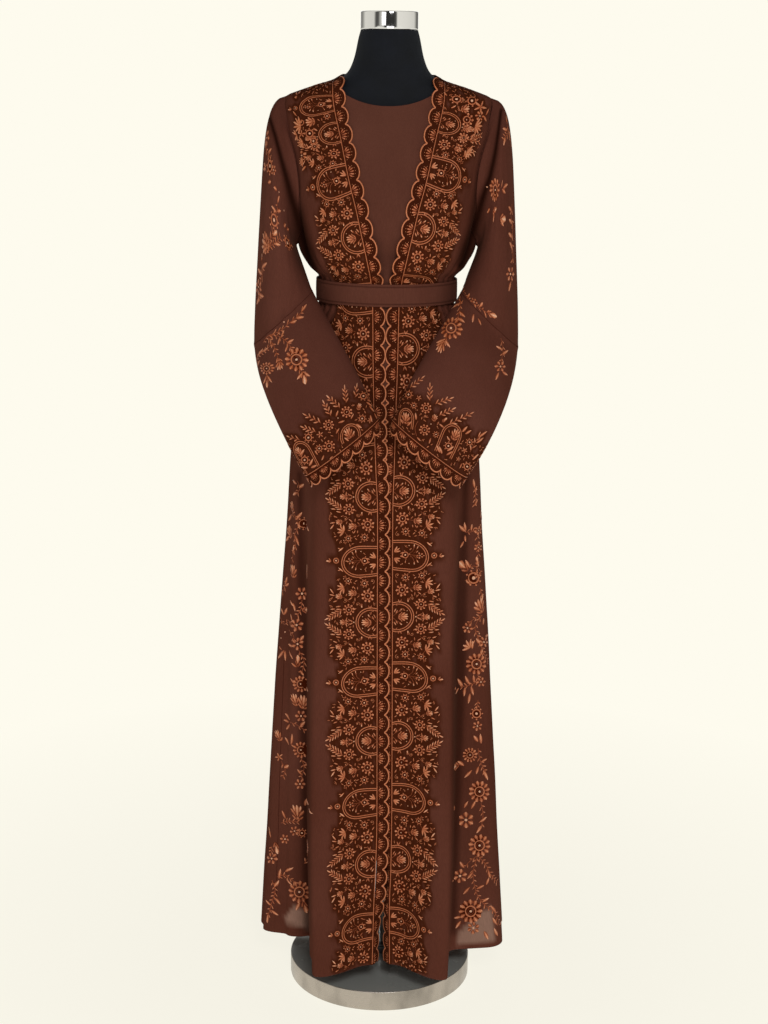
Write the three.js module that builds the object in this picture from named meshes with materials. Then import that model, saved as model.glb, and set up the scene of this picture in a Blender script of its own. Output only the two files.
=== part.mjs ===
// An open-front abaya with its belt, worn on a limbless dress form that stands on a round base.
// Millimetres. +Z is up, the garment faces -Y, and the wearer's left is +X.
// The origin is the centre of the base's underside.
import * as THREE from "three";

// ---------- driving dimensions ----------
const BASE = { radius: 160.5, height: 35, edge: 1.5, sides: 64 };
const COLLAR = { radius: 18, height: 14, edge: 2 };
const POLE = { radius: 11, sides: 24 };
const NECK_CAP = { radius: 46.5, edge: 1.5, top: 1680 };
const CLOTH = { wall: 1.2, seam: 0.3, hem: 78, shoulder: 1571, backNeck: 1581 };
const BELT = { middle: 1235, width: 36, wall: 2.2, clear: 3.8, overlap: 70, sides: 44 };
const SCALLOP = { pitch: 31, notch: 10.4, depth: 10, steps: 4, cuffCount: 15 };
const CURL = { turn: 62, over: 110, left: 345, right: 240 }; // where each border starts to curl back
const ARMHOLE = { top: 1546, bottom: 1306, halfAngle: 25, sides: 16 };
const INSERT = {
  clear: 1.9, // from the dress form above the belt
  under: 2.5, // from the cloth's face below it
  neckDrop: 1533,
  neckSide: 1558,
  neckHalf: 80,
  behind: 26,
  bottom: 905,
};
const SIDE_SEAM = 1; // the girth coordinate of the side seam; 0 is the front edge and 2 the centre back
const RIDGE_LINE = 0.5; // the girth coordinate of the front's outer fold

// Half widths of the dress form: to the side, to the front and to the back.
const FORM_RINGS = [
  { z: 1651, side: 46, front: 46, back: 46 },
  { z: 1638, side: 49.5, front: 50, back: 50 },
  { z: 1610, side: 55.5, front: 56, back: 57 },
  { z: 1592, side: 62, front: 59, back: 62 },
  { z: 1583, side: 68, front: 61, back: 64 },
  { z: 1575, side: 78, front: 61, back: 66 },
  { z: 1568, side: 91, front: 60, back: 66 },
  { z: 1559, side: 121, front: 58, back: 65 },
  { z: 1549, side: 149, front: 57, back: 65 },
  { z: 1541, side: 162, front: 59, back: 67 },
  { z: 1525, side: 166, front: 66, back: 73 },
  { z: 1500, side: 165, front: 78, back: 82 },
  { z: 1450, side: 157, front: 99, back: 94 },
  { z: 1400, side: 150, front: 114, back: 99 },
  { z: 1365, side: 146, front: 119, back: 98 },
  { z: 1330, side: 138, front: 114, back: 94 },
  { z: 1290, side: 123, front: 96, back: 86 },
  { z: 1250, side: 107.5, front: 82, back: 79 },
  { z: 1217, side: 105.5, front: 81, back: 78 },
  { z: 1150, side: 122, front: 91, back: 95 },
  { z: 1080, side: 138, front: 101, back: 111 },
  { z: 1000, side: 148, front: 106, back: 118 },
  { z: 930, side: 146, front: 102, back: 112 },
  { z: 898, side: 139, front: 96, back: 104 },
  { z: 885, side: 128, front: 86, back: 93 },
];

// Half widths of the cloth's outer face before its folds.
const CLOTH_RINGS = [
  { z: 1584, side: 70, front: 66, back: 69 },
  { z: 1579, side: 80, front: 66, back: 71 },
  { z: 1572, side: 92, front: 65, back: 71 },
  { z: 1563, side: 121, front: 63, back: 70 },
  { z: 1553, side: 150, front: 62, back: 70 },
  { z: 1546, side: 166, front: 64, back: 72 },
  { z: 1530, side: 171, front: 70, back: 77 },
  { z: 1500, side: 171, front: 84, back: 88 },
  { z: 1450, side: 163, front: 105, back: 100 },
  { z: 1400, side: 156, front: 120, back: 106 },
  { z: 1365, side: 152, front: 126, back: 106 },
  { z: 1335, side: 147, front: 125, back: 103 },
  { z: 1300, side: 139, front: 119, back: 98 },
  { z: 1273, side: 126, front: 106, back: 93 },
  { z: 1256, side: 111.5, front: 90, back: 86 },
  { z: 1214, side: 111, front: 89.5, back: 86 },
  { z: 1190, side: 123, front: 99, back: 95 },
  { z: 1150, side: 136, front: 109, back: 107 },
  { z: 1050, side: 152, front: 120, back: 123 },
  { z: 950, side: 160, front: 126, back: 130 },
  { z: 870, side: 165, front: 130, back: 134 },
  { z: 730, side: 176, front: 137, back: 141 },
  { z: 510, side: 190, front: 145, back: 152 },
  { z: 285, side: 203, front: 151, back: 162 },
  { z: 75, side: 216, front: 155, back: 172 },
];

// Distance of each front's edge line from the middle. The wearer's right front lies on top.
const EDGE_LINE = [
  { z: 1571, left: 89, right: 89 },
  { z: 1547, left: 88, right: 88 },
  { z: 1480, left: 74, right: 74 },
  { z: 1410, left: 58.5, right: 58.5 },
  { z: 1375, left: 49, right: 49 },
  { z: 1340, left: 41, right: 41 },
  { z: 1295, left: 31, right: 31 },
  { z: 1256, left: 23.5, right: 24 },
  { z: 1217, left: 19.5, right: 21 },
  { z: 1140, left: 18.4, right: 19.6 },
  { z: 1060, left: 16.6, right: 17.6 },
  { z: 950, left: 14.5, right: 13 },
  { z: 890, left: 13.2, right: 10 },
  { z: 700, left: 14.7, right: 8.5 },
  { z: 520, left: 16.4, right: 7.3 },
  { z: 330, left: 18, right: 6 },
  { z: 250, left: 17.5, right: 8 },
  { z: 190, left: 16, right: 10 },
  { z: 78, left: 17.6, right: 12 },
];

// Section angle of the front's outer fold, from the middle of the front.
const RIDGE_ANGLE = [
  { z: 1571, angle: 88 },
  { z: 1547, angle: 62 },
  { z: 1400, angle: 55 },
  { z: 1235, angle: 48 },
  { z: 900, angle: 47 },
  { z: 700, angle: 42 },
  { z: 500, angle: 39 },
  { z: 300, angle: 36 },
  { z: 75, angle: 31 },
];

// Folds by girth coordinate, with their depth at the hem; each fades upwards to nothing at its top.
const SKIRT_FOLDS = [
  { at: 0, toFront: 0.22, toBack: 0.22, left: -14, right: -14, top: 700 },
  { at: 0.4, toFront: 0.32, toBack: 0.14, left: 58, right: 50, top: 1150 },
  { at: 0.6, toFront: 0.12, toBack: 0.2, left: -34, right: 0, top: 1200 },
  { at: 0.69, toFront: 0.2, toBack: 0.15, left: 0, right: -78, top: 1120 },
  { at: 0.84, toFront: 0.13, toBack: 0.14, left: 14, right: -42, top: 1050 },
  { at: 1, toFront: 0.1, toBack: 0.08, left: -2, right: -6, top: 1000 },
  { at: 1.14, toFront: 0.12, toBack: 0.12, left: 12, right: 4, top: 1100 },
  { at: 1.32, toFront: 0.12, toBack: 0.1, left: -26, right: -22, top: 1180 },
  { at: 1.48, toFront: 0.12, toBack: 0.12, left: 24, right: 26, top: 1150 },
  { at: 1.66, toFront: 0.11, toBack: 0.1, left: -24, right: -26, top: 1180 },
  { at: 1.82, toFront: 0.11, toBack: 0.1, left: 24, right: 22, top: 1150 },
  { at: 2, toFront: 0.1, toBack: 0.1, left: -16, right: -16, top: 1150 },
];
// Soft folds of the bodice, deepest at its middle height.
const BODICE_FOLDS = [
  { at: 0.6, toFront: 0.2, toBack: 0.14, depth: 5, low: 1258, high: 1400 },
  { at: 0.76, toFront: 0.1, toBack: 0.1, depth: -6, low: 1258, high: 1400 },
  { at: 0.88, toFront: 0.1, toBack: 0.12, depth: 5, low: 1258, high: 1360 },
  { at: 1.32, toFront: 0.2, toBack: 0.2, depth: 6, low: 1258, high: 1470 },
  { at: 1.6, toFront: 0.16, toBack: 0.16, depth: -3, low: 1258, high: 1420 },
  { at: 1.82, toFront: 0.18, toBack: 0.18, depth: 5, low: 1258, high: 1470 },
];
const GATHERS = { from: 0.34, count: 9, depth: 2.4, underBelt: 0.9, reach: 75 };
const LAP = { lift: 2.4, full: 0.06, none: 0.3 }; // how far the upper front stands off the lower one

// Sleeve sections: the outer (o) and inner (i) ends of each, and its depth to the front and back.
const SLEEVE_SECTIONS = [
  { ox: 166, oy: 0, oz: 1546, ix: 139, iy: 0, iz: 1306, front: 47, back: 47, left: 0 },
  { ox: 178, oy: 0, oz: 1541, ix: 144, iy: -1, iz: 1308, front: 55, back: 53, left: 0 },
  { ox: 188, oy: -1, oz: 1529, ix: 148, iy: -2, iz: 1306, front: 60, back: 57, left: 0 },
  { ox: 196, oy: -2, oz: 1505, ix: 149, iy: -4, iz: 1300, front: 63, back: 59, left: 0 },
  { ox: 202.5, oy: -4, oz: 1460, ix: 146, iy: -8, iz: 1290, front: 64, back: 58, left: 0 },
  { ox: 208, oy: -8, oz: 1380, ix: 140, iy: -15, iz: 1278, front: 64, back: 57, left: 0 },
  { ox: 213, oy: -14, oz: 1290, ix: 133, iy: -26, iz: 1263, front: 62, back: 54, left: 0 },
  { ox: 217, oy: -22, oz: 1205, ix: 127, iy: -38, iz: 1248, front: 59, back: 50, left: 0 },
  { ox: 217.5, oy: -34, oz: 1145, ix: 121, iy: -50, iz: 1236, front: 53, back: 42, left: 0 },
  { ox: 209, oy: -68, oz: 1106, ix: 97, iy: -82, iz: 1198, front: 45, back: 33, left: 2 },
  { ox: 194, oy: -100, oz: 1070, ix: 70, iy: -110, iz: 1155, front: 39, back: 28, left: 5 },
  { ox: 174, oy: -126, oz: 1030, ix: 44, iy: -134, iz: 1112, front: 35, back: 25, left: 7 },
  { ox: 152, oy: -146, oz: 990, ix: 25, iy: -151, iz: 1076, front: 33, back: 24, left: 7 },
  { ox: 128, oy: -160, oz: 951, ix: 10, iy: -162, iz: 1046, front: 36, back: 28, left: 5 },
];
const ELBOW_SECTION = 8;
const CUFF_SECTION = SLEEVE_SECTIONS.length - 1;
const SLEEVE_CLEAR = { body: 2.5, belt: 8, skirt: 9 };

// ---------- tables and small maths ----------
const radians = THREE.MathUtils.degToRad;
const clamp = THREE.MathUtils.clamp;
// Eases from 0 at the first value to 1 at the second, whichever is the larger.
const smooth = (none, full, value) => THREE.MathUtils.smoothstep((value - none) / (full - none), 0, 1);

// A cubic from one value to the next, with its slopes at both ends.
const cubic = (start, end, inSlope, outSlope, t) => {
  const rise = end - start;
  const bend = 3 * rise - 2 * inSlope - outSlope;
  return start + t * (inSlope + t * (bend + t * (inSlope + outSlope - 2 * rise)));
};

// A cubic through a column of a table, by row position.
function through(rows, column, at) {
  const last = rows.length - 1;
  const i = clamp(Math.floor(at), 0, last - 1);
  const value = (k) => rows[clamp(k, 0, last)][column];
  const t = at - i;
  const [a, b, c, d] = [value(i - 1), value(i), value(i + 1), value(i + 2)];
  const inSlope = (c - a) / 2;
  const outSlope = (d - b) / 2;
  return cubic(b, c, inSlope, outSlope, t);
}

// A monotone cubic through a column of a table whose rows run downwards in z.
function atHeight(rows, column, z) {
  const last = rows.length - 1;
  const slope = (k) => (rows[k + 1][column] - rows[k][column]) / (rows[k + 1].z - rows[k].z);
  const tangent = (k) => {
    if (k === 0) return slope(0);
    if (k === last) return slope(last - 1);
    const [above, below] = [slope(k - 1), slope(k)];
    return above * below <= 0 ? 0 : (2 * above * below) / (above + below);
  };
  if (z >= rows[0].z) return rows[0][column] + (z - rows[0].z) * tangent(0);
  if (z <= rows[last].z) return rows[last][column] + (z - rows[last].z) * tangent(last);
  const i = rows.findIndex((row, k) => k < last && z <= row.z && z >= rows[k + 1].z);
  const span = rows[i + 1].z - rows[i].z;
  const t = (z - rows[i].z) / span;
  return cubic(rows[i][column], rows[i + 1][column], tangent(i) * span, tangent(i + 1) * span, t);
}

const sideName = (side) => (side > 0 ? "left" : "right");
const bump = (value, at, before, after) => {
  const reach = value < at ? before : after;
  const share = Math.abs(value - at) / reach;
  return share < 1 ? Math.cos((share * Math.PI) / 2) ** 2 : 0;
};

// ---------- the cloth's surface ----------
// A point on a horizontal section of a ring table; the angle is 0 in front and 90 at the side.
function ringPoint(rings, side, angle, z, grow = 0) {
  const a = radians(angle);
  const depth = atHeight(rings, angle <= 90 ? "front" : "back", z) + grow;
  const across = atHeight(rings, "side", z) + grow;
  return new THREE.Vector3(side * across * Math.sin(a), -depth * Math.cos(a), z);
}

const edgeAngle = (side, z) => {
  const share = atHeight(EDGE_LINE, sideName(side), z) / atHeight(CLOTH_RINGS, "side", z);
  return (Math.asin(clamp(share, -1, 1)) * 180) / Math.PI;
};

function girthAngle(side, girth, z) {
  const edge = edgeAngle(side, z);
  const ridge = Math.max(atHeight(RIDGE_ANGLE, "angle", z), edge);
  if (girth <= RIDGE_LINE) return edge + ((ridge - edge) * girth) / RIDGE_LINE;
  if (girth <= SIDE_SEAM) return ridge + ((90 - ridge) * (girth - RIDGE_LINE)) / (SIDE_SEAM - RIDGE_LINE);
  return 90 * girth;
}

function foldDepth(side, girth, z) {
  let depth = 0;
  for (const fold of SKIRT_FOLDS) {
    const drop = clamp((fold.top - z) / (fold.top - CLOTH.hem), 0, 1.1);
    depth += fold[sideName(side)] * drop ** 1.15 * bump(girth, fold.at, fold.toFront, fold.toBack);
  }
  for (const fold of BODICE_FOLDS) {
    const share = clamp((z - fold.low) / (fold.high - fold.low), 0, 1);
    depth += fold.depth * Math.sin(share * Math.PI) ** 2 * bump(girth, fold.at, fold.toFront, fold.toBack);
  }
  const fromBelt = Math.max(Math.abs(z - BELT.middle) - BELT.width / 2, 0);
  const fade = clamp(1 - fromBelt / GATHERS.reach, 0, 1) * smooth(GATHERS.from, GATHERS.from + 0.12, girth);
  const gather = GATHERS.underBelt + (GATHERS.depth - GATHERS.underBelt) * smooth(0, 14, fromBelt);
  depth += gather * fade * Math.cos(2 * Math.PI * GATHERS.count * (girth - 2));
  if (side < 0) depth += LAP.lift * (1 - smooth(LAP.full, LAP.none, girth)) * smooth(1420, 1270, z);
  return depth;
}

// The cloth's outer face at a girth coordinate and height.
function clothPoint(side, girth, z) {
  const angle = girthAngle(side, girth, z);
  const point = ringPoint(CLOTH_RINGS, side, angle, z);
  const a = radians(angle);
  const across = atHeight(CLOTH_RINGS, "side", z);
  const depth = atHeight(CLOTH_RINGS, angle <= 90 ? "front" : "back", z);
  const out = new THREE.Vector3((side * Math.sin(a)) / across, -Math.cos(a) / depth, 0).normalize();
  return point.addScaledVector(out, foldDepth(side, girth, z));
}

// The unit normal of a surface given by a function of two numbers.
function normalOf(surface, u, v, du, dv) {
  const along = surface(u + du, v).sub(surface(u - du, v));
  const down = surface(u, v + dv).sub(surface(u, v - dv));
  return along.cross(down).normalize();
}

const clothNormal = (side, girth, z) =>
  normalOf((g, h) => clothPoint(side, g, h), girth, z, 0.004, 0.8).multiplyScalar(side);

// ---------- closed meshes ----------
const flat = (points) => points.flatMap((p) => [p.x, p.y, p.z]);

function closedGeometry(points, triangles) {
  const geometry = new THREE.BufferGeometry();
  let volume = 0;
  for (const [a, b, c] of triangles)
    volume += points[a].dot(new THREE.Vector3().crossVectors(points[b], points[c]));
  const facing = volume < 0 ? triangles.map(([a, b, c]) => [a, c, b]) : triangles;
  geometry.setAttribute("position", new THREE.Float32BufferAttribute(flat(points), 3));
  geometry.setIndex(facing.flat());
  geometry.computeVertexNormals();
  return geometry;
}

// A wall between two grids of points; a looped wall closes on itself along each row.
function wallGeometry(outer, inner, looped = false) {
  const [rows, columns] = [outer.length, outer[0].length];
  const points = [...outer.flat(), ...inner.flat()];
  const at = (layer, i, j) => layer * rows * columns + i * columns + (j % columns);
  const triangles = [];
  const quad = (a, b, c, d) => triangles.push([a, b, c], [a, c, d]);
  const spans = looped ? columns : columns - 1;
  for (let i = 0; i < rows - 1; i++)
    for (let j = 0; j < spans; j++) {
      quad(at(0, i, j), at(0, i + 1, j), at(0, i + 1, j + 1), at(0, i, j + 1));
      quad(at(1, i, j), at(1, i, j + 1), at(1, i + 1, j + 1), at(1, i + 1, j));
    }
  for (let j = 0; j < spans; j++) {
    quad(at(0, 0, j), at(0, 0, j + 1), at(1, 0, j + 1), at(1, 0, j));
    quad(at(0, rows - 1, j), at(1, rows - 1, j), at(1, rows - 1, j + 1), at(0, rows - 1, j + 1));
  }
  if (!looped)
    for (let i = 0; i < rows - 1; i++) {
      const end = columns - 1;
      quad(at(0, i, 0), at(1, i, 0), at(1, i + 1, 0), at(0, i + 1, 0));
      quad(at(0, i, end), at(0, i + 1, end), at(1, i + 1, end), at(1, i, end));
    }
  return closedGeometry(points, triangles);
}

// A solid through closed rings of points, with flat ends.
function loftGeometry(rings) {
  const sides = rings[0].length;
  const centre = (ring) => ring.reduce((sum, p) => sum.add(p), new THREE.Vector3()).divideScalar(sides);
  const points = [...rings.flat(), centre(rings[0]), centre(rings[rings.length - 1])];
  const [first, last] = [points.length - 2, points.length - 1];
  const triangles = [];
  for (let i = 0; i < rings.length - 1; i++)
    for (let j = 0; j < sides; j++) {
      const k = (j + 1) % sides;
      const [a, b, c, d] = [i * sides + j, i * sides + k, (i + 1) * sides + k, (i + 1) * sides + j];
      triangles.push([a, b, c], [a, c, d]);
    }
  for (let j = 0; j < sides; j++) {
    const k = (j + 1) % sides;
    triangles.push([first, k, j], [last, (rings.length - 1) * sides + j, (rings.length - 1) * sides + k]);
  }
  return closedGeometry(points, triangles);
}

// A turned disc or post with its edges taken off.
function turnedGeometry(radius, low, high, edge, sides) {
  const profile = [
    [0, low],
    [radius - edge, low],
    [radius, low + edge],
    [radius, high - edge],
    [radius - edge, high],
    [0, high],
  ].map(([r, z]) => new THREE.Vector2(r, z));
  return new THREE.LatheGeometry(profile, sides).rotateX(Math.PI / 2);
}

// ---------- pieces of the garment ----------
const FRONT_COLUMNS = [
  ...[0, 0.08, 0.16, 0.24, 0.32, 0.4],
  ...[0.46, 0.52, 0.58, 0.64, 0.7, 0.76, 0.82, 0.88, 0.94, 1],
];
const BACK_COLUMNS = [1, 1.07, 1.14, 1.23, 1.32, 1.4, 1.48, 1.57, 1.66, 1.74, 1.82, 1.91, 2];
const ARMHOLE_MIDDLE = (ARMHOLE.top + ARMHOLE.bottom) / 2;
const ARMHOLE_HALF = (ARMHOLE.top - ARMHOLE.bottom) / 2;
const armholeRows = [];
for (let k = 0; k <= ARMHOLE.sides / 2; k++)
  armholeRows.push(ARMHOLE_MIDDLE + ARMHOLE_HALF * Math.cos((2 * Math.PI * k) / ARMHOLE.sides));
const SKIRT_ROWS = [1168, 1110, 1020, 900, 760, 620, 480, 340, 220, 150, CLOTH.hem];
const LOWER_ROWS = [1288, 1270, 1254, 1235, 1216, 1198, ...SKIRT_ROWS];
const FRONT_ROWS = [CLOTH.shoulder, 1562, 1554, ...armholeRows, ...LOWER_ROWS];
const BACK_ROWS = [CLOTH.backNeck, 1575, 1566, 1556, ...armholeRows, ...LOWER_ROWS];

// How far the armhole cuts back from the side seam at a height, in section degrees.
function armholeCut(z) {
  const share = (z - ARMHOLE_MIDDLE) / ARMHOLE_HALF;
  return Math.abs(share) < 1 ? ARMHOLE.halfAngle * Math.sqrt(1 - share * share) : 0;
}

// A wall of cloth over a grid of girth coordinates and heights.
function clothWall(cells) {
  const outer = cells.map((row) => row.map(({ side, girth, z }) => clothPoint(side, girth, z)));
  const inner = cells.map((row, i) =>
    row.map(({ side, girth, z }, j) =>
      outer[i][j].clone().addScaledVector(clothNormal(side, girth, z), -CLOTH.wall),
    ),
  );
  return wallGeometry(outer, inner);
}

const seamShare = (z) => CLOTH.seam / 2 / ((Math.PI / 2) * atHeight(CLOTH_RINGS, "side", z));

function frontGeometry(side) {
  const cells = FRONT_ROWS.map((z) => {
    const ridge = Math.max(atHeight(RIDGE_ANGLE, "angle", z), edgeAngle(side, z));
    const cut = armholeCut(z) / (90 - ridge) * (SIDE_SEAM - RIDGE_LINE);
    const end = SIDE_SEAM - cut - 3 * seamShare(z);
    const gathered = (share) => share * (1 - (1 - end) * smooth(0.3, 1, share));
    return FRONT_COLUMNS.map((share) => ({ side, z, girth: gathered(share) }));
  });
  return clothWall(cells);
}

function backGeometry() {
  const cells = BACK_ROWS.map((z) => {
    const start = SIDE_SEAM + armholeCut(z) / 90 + seamShare(z);
    const half = (side) =>
      BACK_COLUMNS.map((at) => ({ side, z, girth: at + (start - 1) * smooth(1.6, 1, at) }));
    return [...half(-1), ...half(1).reverse().slice(1)];
  });
  return clothWall(cells);
}

// Moves a point to the cloth's unfolded surface along the surface's slope.
function ontoCloth(point) {
  const level = (p) => {
    const across = p.x / atHeight(CLOTH_RINGS, "side", p.z);
    const along = p.y / atHeight(CLOTH_RINGS, p.y < 0 ? "front" : "back", p.z);
    return across * across + along * along - 1;
  };
  const axes = [new THREE.Vector3(1, 0, 0), new THREE.Vector3(0, 1, 0), new THREE.Vector3(0, 0, 1)];
  for (let step = 0; step < 5; step++) {
    const step = (axis, length) => level(point.clone().addScaledVector(axis, length));
    const slope = new THREE.Vector3(...axes.map((axis) => (step(axis, 0.1) - step(axis, -0.1)) / 0.2));
    point.addScaledVector(slope, -level(point) / slope.lengthSq());
  }
  return point;
}

// A point of the front's edge, which runs straight from one row of the panel to the next.
function edgePoint(side, z) {
  const row = FRONT_ROWS.findIndex((low) => z >= low);
  if (row <= 0) return clothPoint(side, 0, z);
  const [high, low] = [FRONT_ROWS[row - 1], FRONT_ROWS[row]];
  return clothPoint(side, 0, high).lerp(clothPoint(side, 0, low), (high - z) / (high - low));
}

// The front edge's points at equal steps of length.
function edgeSteps(side, step) {
  const steps = [];
  let [length, before] = [0, edgePoint(side, CLOTH.shoulder)];
  for (let z = CLOTH.shoulder; z >= CLOTH.hem; z -= 0.5) {
    const here = edgePoint(side, z);
    length += here.distanceTo(before);
    before = here;
    if (length >= steps.length * step) steps.push(here);
  }
  return steps;
}

const scallopWidth = (share) =>
  SCALLOP.notch + SCALLOP.depth * Math.sqrt(Math.max(0, 1 - (2 * share - 1) ** 2));

// The scalloped border along a front's edge: it carries on from the panel towards the middle,
// and near the hem it curls back, the one underneath first.
function borderGeometry(side) {
  const curlFrom = CURL[sideName(side)];
  const [outer, inner] = [[], []];
  edgeSteps(side, SCALLOP.pitch / SCALLOP.steps).forEach((edge, k) => {
    const z = edge.z;
    const start = ontoCloth(edge.clone());
    const lift = edge.clone().sub(start);
    const ring = (angle, height) => ringPoint(CLOTH_RINGS, side, angle, height);
    const slope = normalOf(ring, edgeAngle(side, z), z, 0.3, 0.5).multiplyScalar(side);
    const above = edgePoint(side, Math.min(z + 2, CLOTH.shoulder));
    const down = edgePoint(side, z - 2).sub(above).normalize();
    const across = down.clone().cross(slope).normalize().multiplyScalar(side);
    const curl = radians(CURL.turn) * smooth(curlFrom, curlFrom - CURL.over, z);
    const width = scallopWidth((k % SCALLOP.steps) / SCALLOP.steps);
    const row = [CLOTH.seam + 0.2, width].map((w) => {
      const point = ontoCloth(start.clone().addScaledVector(across, w * Math.cos(curl))).add(lift);
      point.addScaledVector(slope, -w * Math.sin(curl) + 0.3 * smooth(1300, 1400, z));
      point.y = Math.min(point.y, -CLOTH.seam / 2 - 0.1);
      return point;
    });
    outer.push(row);
    inner.push(row.map((p) => p.clone().addScaledVector(slope, -CLOTH.wall)));
  });
  return wallGeometry(outer, inner);
}

// The plain panel that fills the open neck. It lies on the form down to the belt, and below it
// hangs behind the fronts' scallops.
function insertGeometry() {
  const [rows, columns] = [24, 12];
  const layer = (grow) =>
    Array.from({ length: rows + 1 }, (_, i) =>
      Array.from({ length: columns + 1 }, (_, j) => {
        const spread = (2 * j) / columns - 1;
        const neck = INSERT.neckDrop + (INSERT.neckSide - INSERT.neckDrop) * Math.abs(spread) ** 2.2;
        const z = neck + (INSERT.bottom - neck) * (i / rows) ** 1.3;
        const half = Math.min(INSERT.neckHalf, atHeight(EDGE_LINE, "left", z) + INSERT.behind);
        const widest = Math.asin(half / (atHeight(FORM_RINGS, "side", z) + grow));
        const angle = THREE.MathUtils.radToDeg(widest * spread);
        const inward = INSERT.under + INSERT.clear + CLOTH.wall - grow;
        const hanging = ringPoint(CLOTH_RINGS, 1, angle, z, -inward);
        return ringPoint(FORM_RINGS, 1, angle, z, grow).lerp(hanging, smooth(1205, 1130, z));
      }),
    );
  return wallGeometry(layer(INSERT.clear + CLOTH.wall), layer(INSERT.clear));
}

// ---------- sleeves ----------
// A point of the armhole's edge; the turn is 0 at the shoulder and 90 in front.
function armholeGirth(turn) {
  const z = ARMHOLE_MIDDLE + ARMHOLE_HALF * Math.cos(turn);
  const angle = 90 - ARMHOLE.halfAngle * Math.sin(turn);
  return { angle, z };
}

function armholePoint(side, turn) {
  const { angle, z } = armholeGirth(turn);
  const ridge = atHeight(RIDGE_ANGLE, "angle", z);
  const beyondRidge = (angle - ridge) / (90 - ridge);
  const girth = angle >= 90 ? angle / 90 : RIDGE_LINE + beyondRidge * (SIDE_SEAM - RIDGE_LINE);
  return { point: clothPoint(side, girth, z), normal: clothNormal(side, girth, z) };
}

function sleeveOval(side, at, turn) {
  const column = (name) => through(SLEEVE_SECTIONS, name, at);
  const outer = new THREE.Vector3(side * column("ox"), column("oy"), column("oz"));
  const inner = new THREE.Vector3(side * column("ix"), column("iy"), column("iz"));
  const depth = Math.sin(turn) > 0 ? column("front") : column("back");
  if (side > 0) outer.x += column("left");
  const point = outer.clone().add(inner).multiplyScalar(0.5);
  point.addScaledVector(outer.clone().sub(inner), Math.cos(turn) / 2);
  point.y -= depth * Math.sin(turn);
  return point;
}

// Keeps a sleeve's point clear of the body of the garment.
function clearOfBody(point, amount) {
  const z = point.z;
  const fromMiddle = Math.abs(z - BELT.middle);
  const belt = smooth(BELT.width, BELT.width / 2 + 4, fromMiddle);
  const skirt = SLEEVE_CLEAR.skirt * smooth(1230, 1100, z);
  const overBelt = belt * (SLEEVE_CLEAR.belt - SLEEVE_CLEAR.body);
  const room = (Math.max(SLEEVE_CLEAR.body, skirt) + overBelt) * amount;
  const across = point.x / (atHeight(CLOTH_RINGS, "side", z) + room);
  const along = point.y / (atHeight(CLOTH_RINGS, point.y < 0 ? "front" : "back", z) + room);
  const share = Math.hypot(across, along);
  if (share < 1) {
    point.x /= share;
    point.y /= share;
  }
  return point;
}

function sleevePoint(side, at, turn) {
  const point = sleeveOval(side, at, turn);
  const root = armholePoint(side, turn).point.sub(sleeveOval(side, 0, turn));
  point.addScaledVector(root, clamp(1 - at / 3.5, 0, 1) ** 1.5);
  return at >= 1 ? clearOfBody(point, clamp(at - 1, 0, 1)) : point;
}

const sleeveNormal = (side, at, turn) =>
  normalOf((a, t) => sleevePoint(side, a, t), at, turn, 0.05, 0.02).multiplyScalar(side);

const turns = (count) => Array.from({ length: count }, (_, k) => (2 * Math.PI * k) / count);

function sleeveRings(side, places) {
  const outer = places.map((at) => turns(ARMHOLE.sides).map((turn) => sleevePoint(side, at, turn)));
  const inward = (at, turn) => sleeveNormal(side, at, turn).multiplyScalar(-CLOTH.wall);
  const inner = places.map((at, i) =>
    turns(ARMHOLE.sides).map((turn, j) => outer[i][j].clone().add(inward(at, turn))),
  );
  return { outer, inner };
}

// The upper sleeve starts along the armhole's edge, stands off the body under the arm, and ends
// at the elbow seam.
function upperSleeveGeometry(side) {
  const places = [0.9, 1.6, 2.3, 3, 3.8, 4.6, 5.3, 6, 6.7, 7.4, ELBOW_SECTION - 0.004];
  const { outer, inner } = sleeveRings(side, places);
  const root = (alongShare, lift) =>
    turns(ARMHOLE.sides).map((turn, k) => {
      const { point, normal } = armholePoint(side, turn);
      const away = new THREE.Vector3(0, -Math.sin(turn), Math.cos(turn));
      point.addScaledVector(away, -CLOTH.seam - 0.3);
      const under = smooth(0.4, 0.9, (1 - Math.cos(turn)) / 2);
      point.lerp(outer[0][k], alongShare).addScaledVector(normal, lift * under);
      return { point, normal };
    });
  const rings = [root(0, 0), root(0.12, 2.4)];
  const inside = ({ point, normal }) => point.clone().addScaledVector(normal, -CLOTH.wall);
  outer.unshift(...rings.map((ring) => ring.map(({ point }) => point)));
  inner.unshift(...rings.map((ring) => ring.map(inside)));
  return wallGeometry(outer, inner, true);
}

function lowerSleeveGeometry(side) {
  const places = [ELBOW_SECTION + 0.004, 8.5, 9, 9.6, 10.2, 10.8, 11.5, 12.2, CUFF_SECTION];
  const { outer, inner } = sleeveRings(side, places);
  return wallGeometry(outer, inner, true);
}

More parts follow.
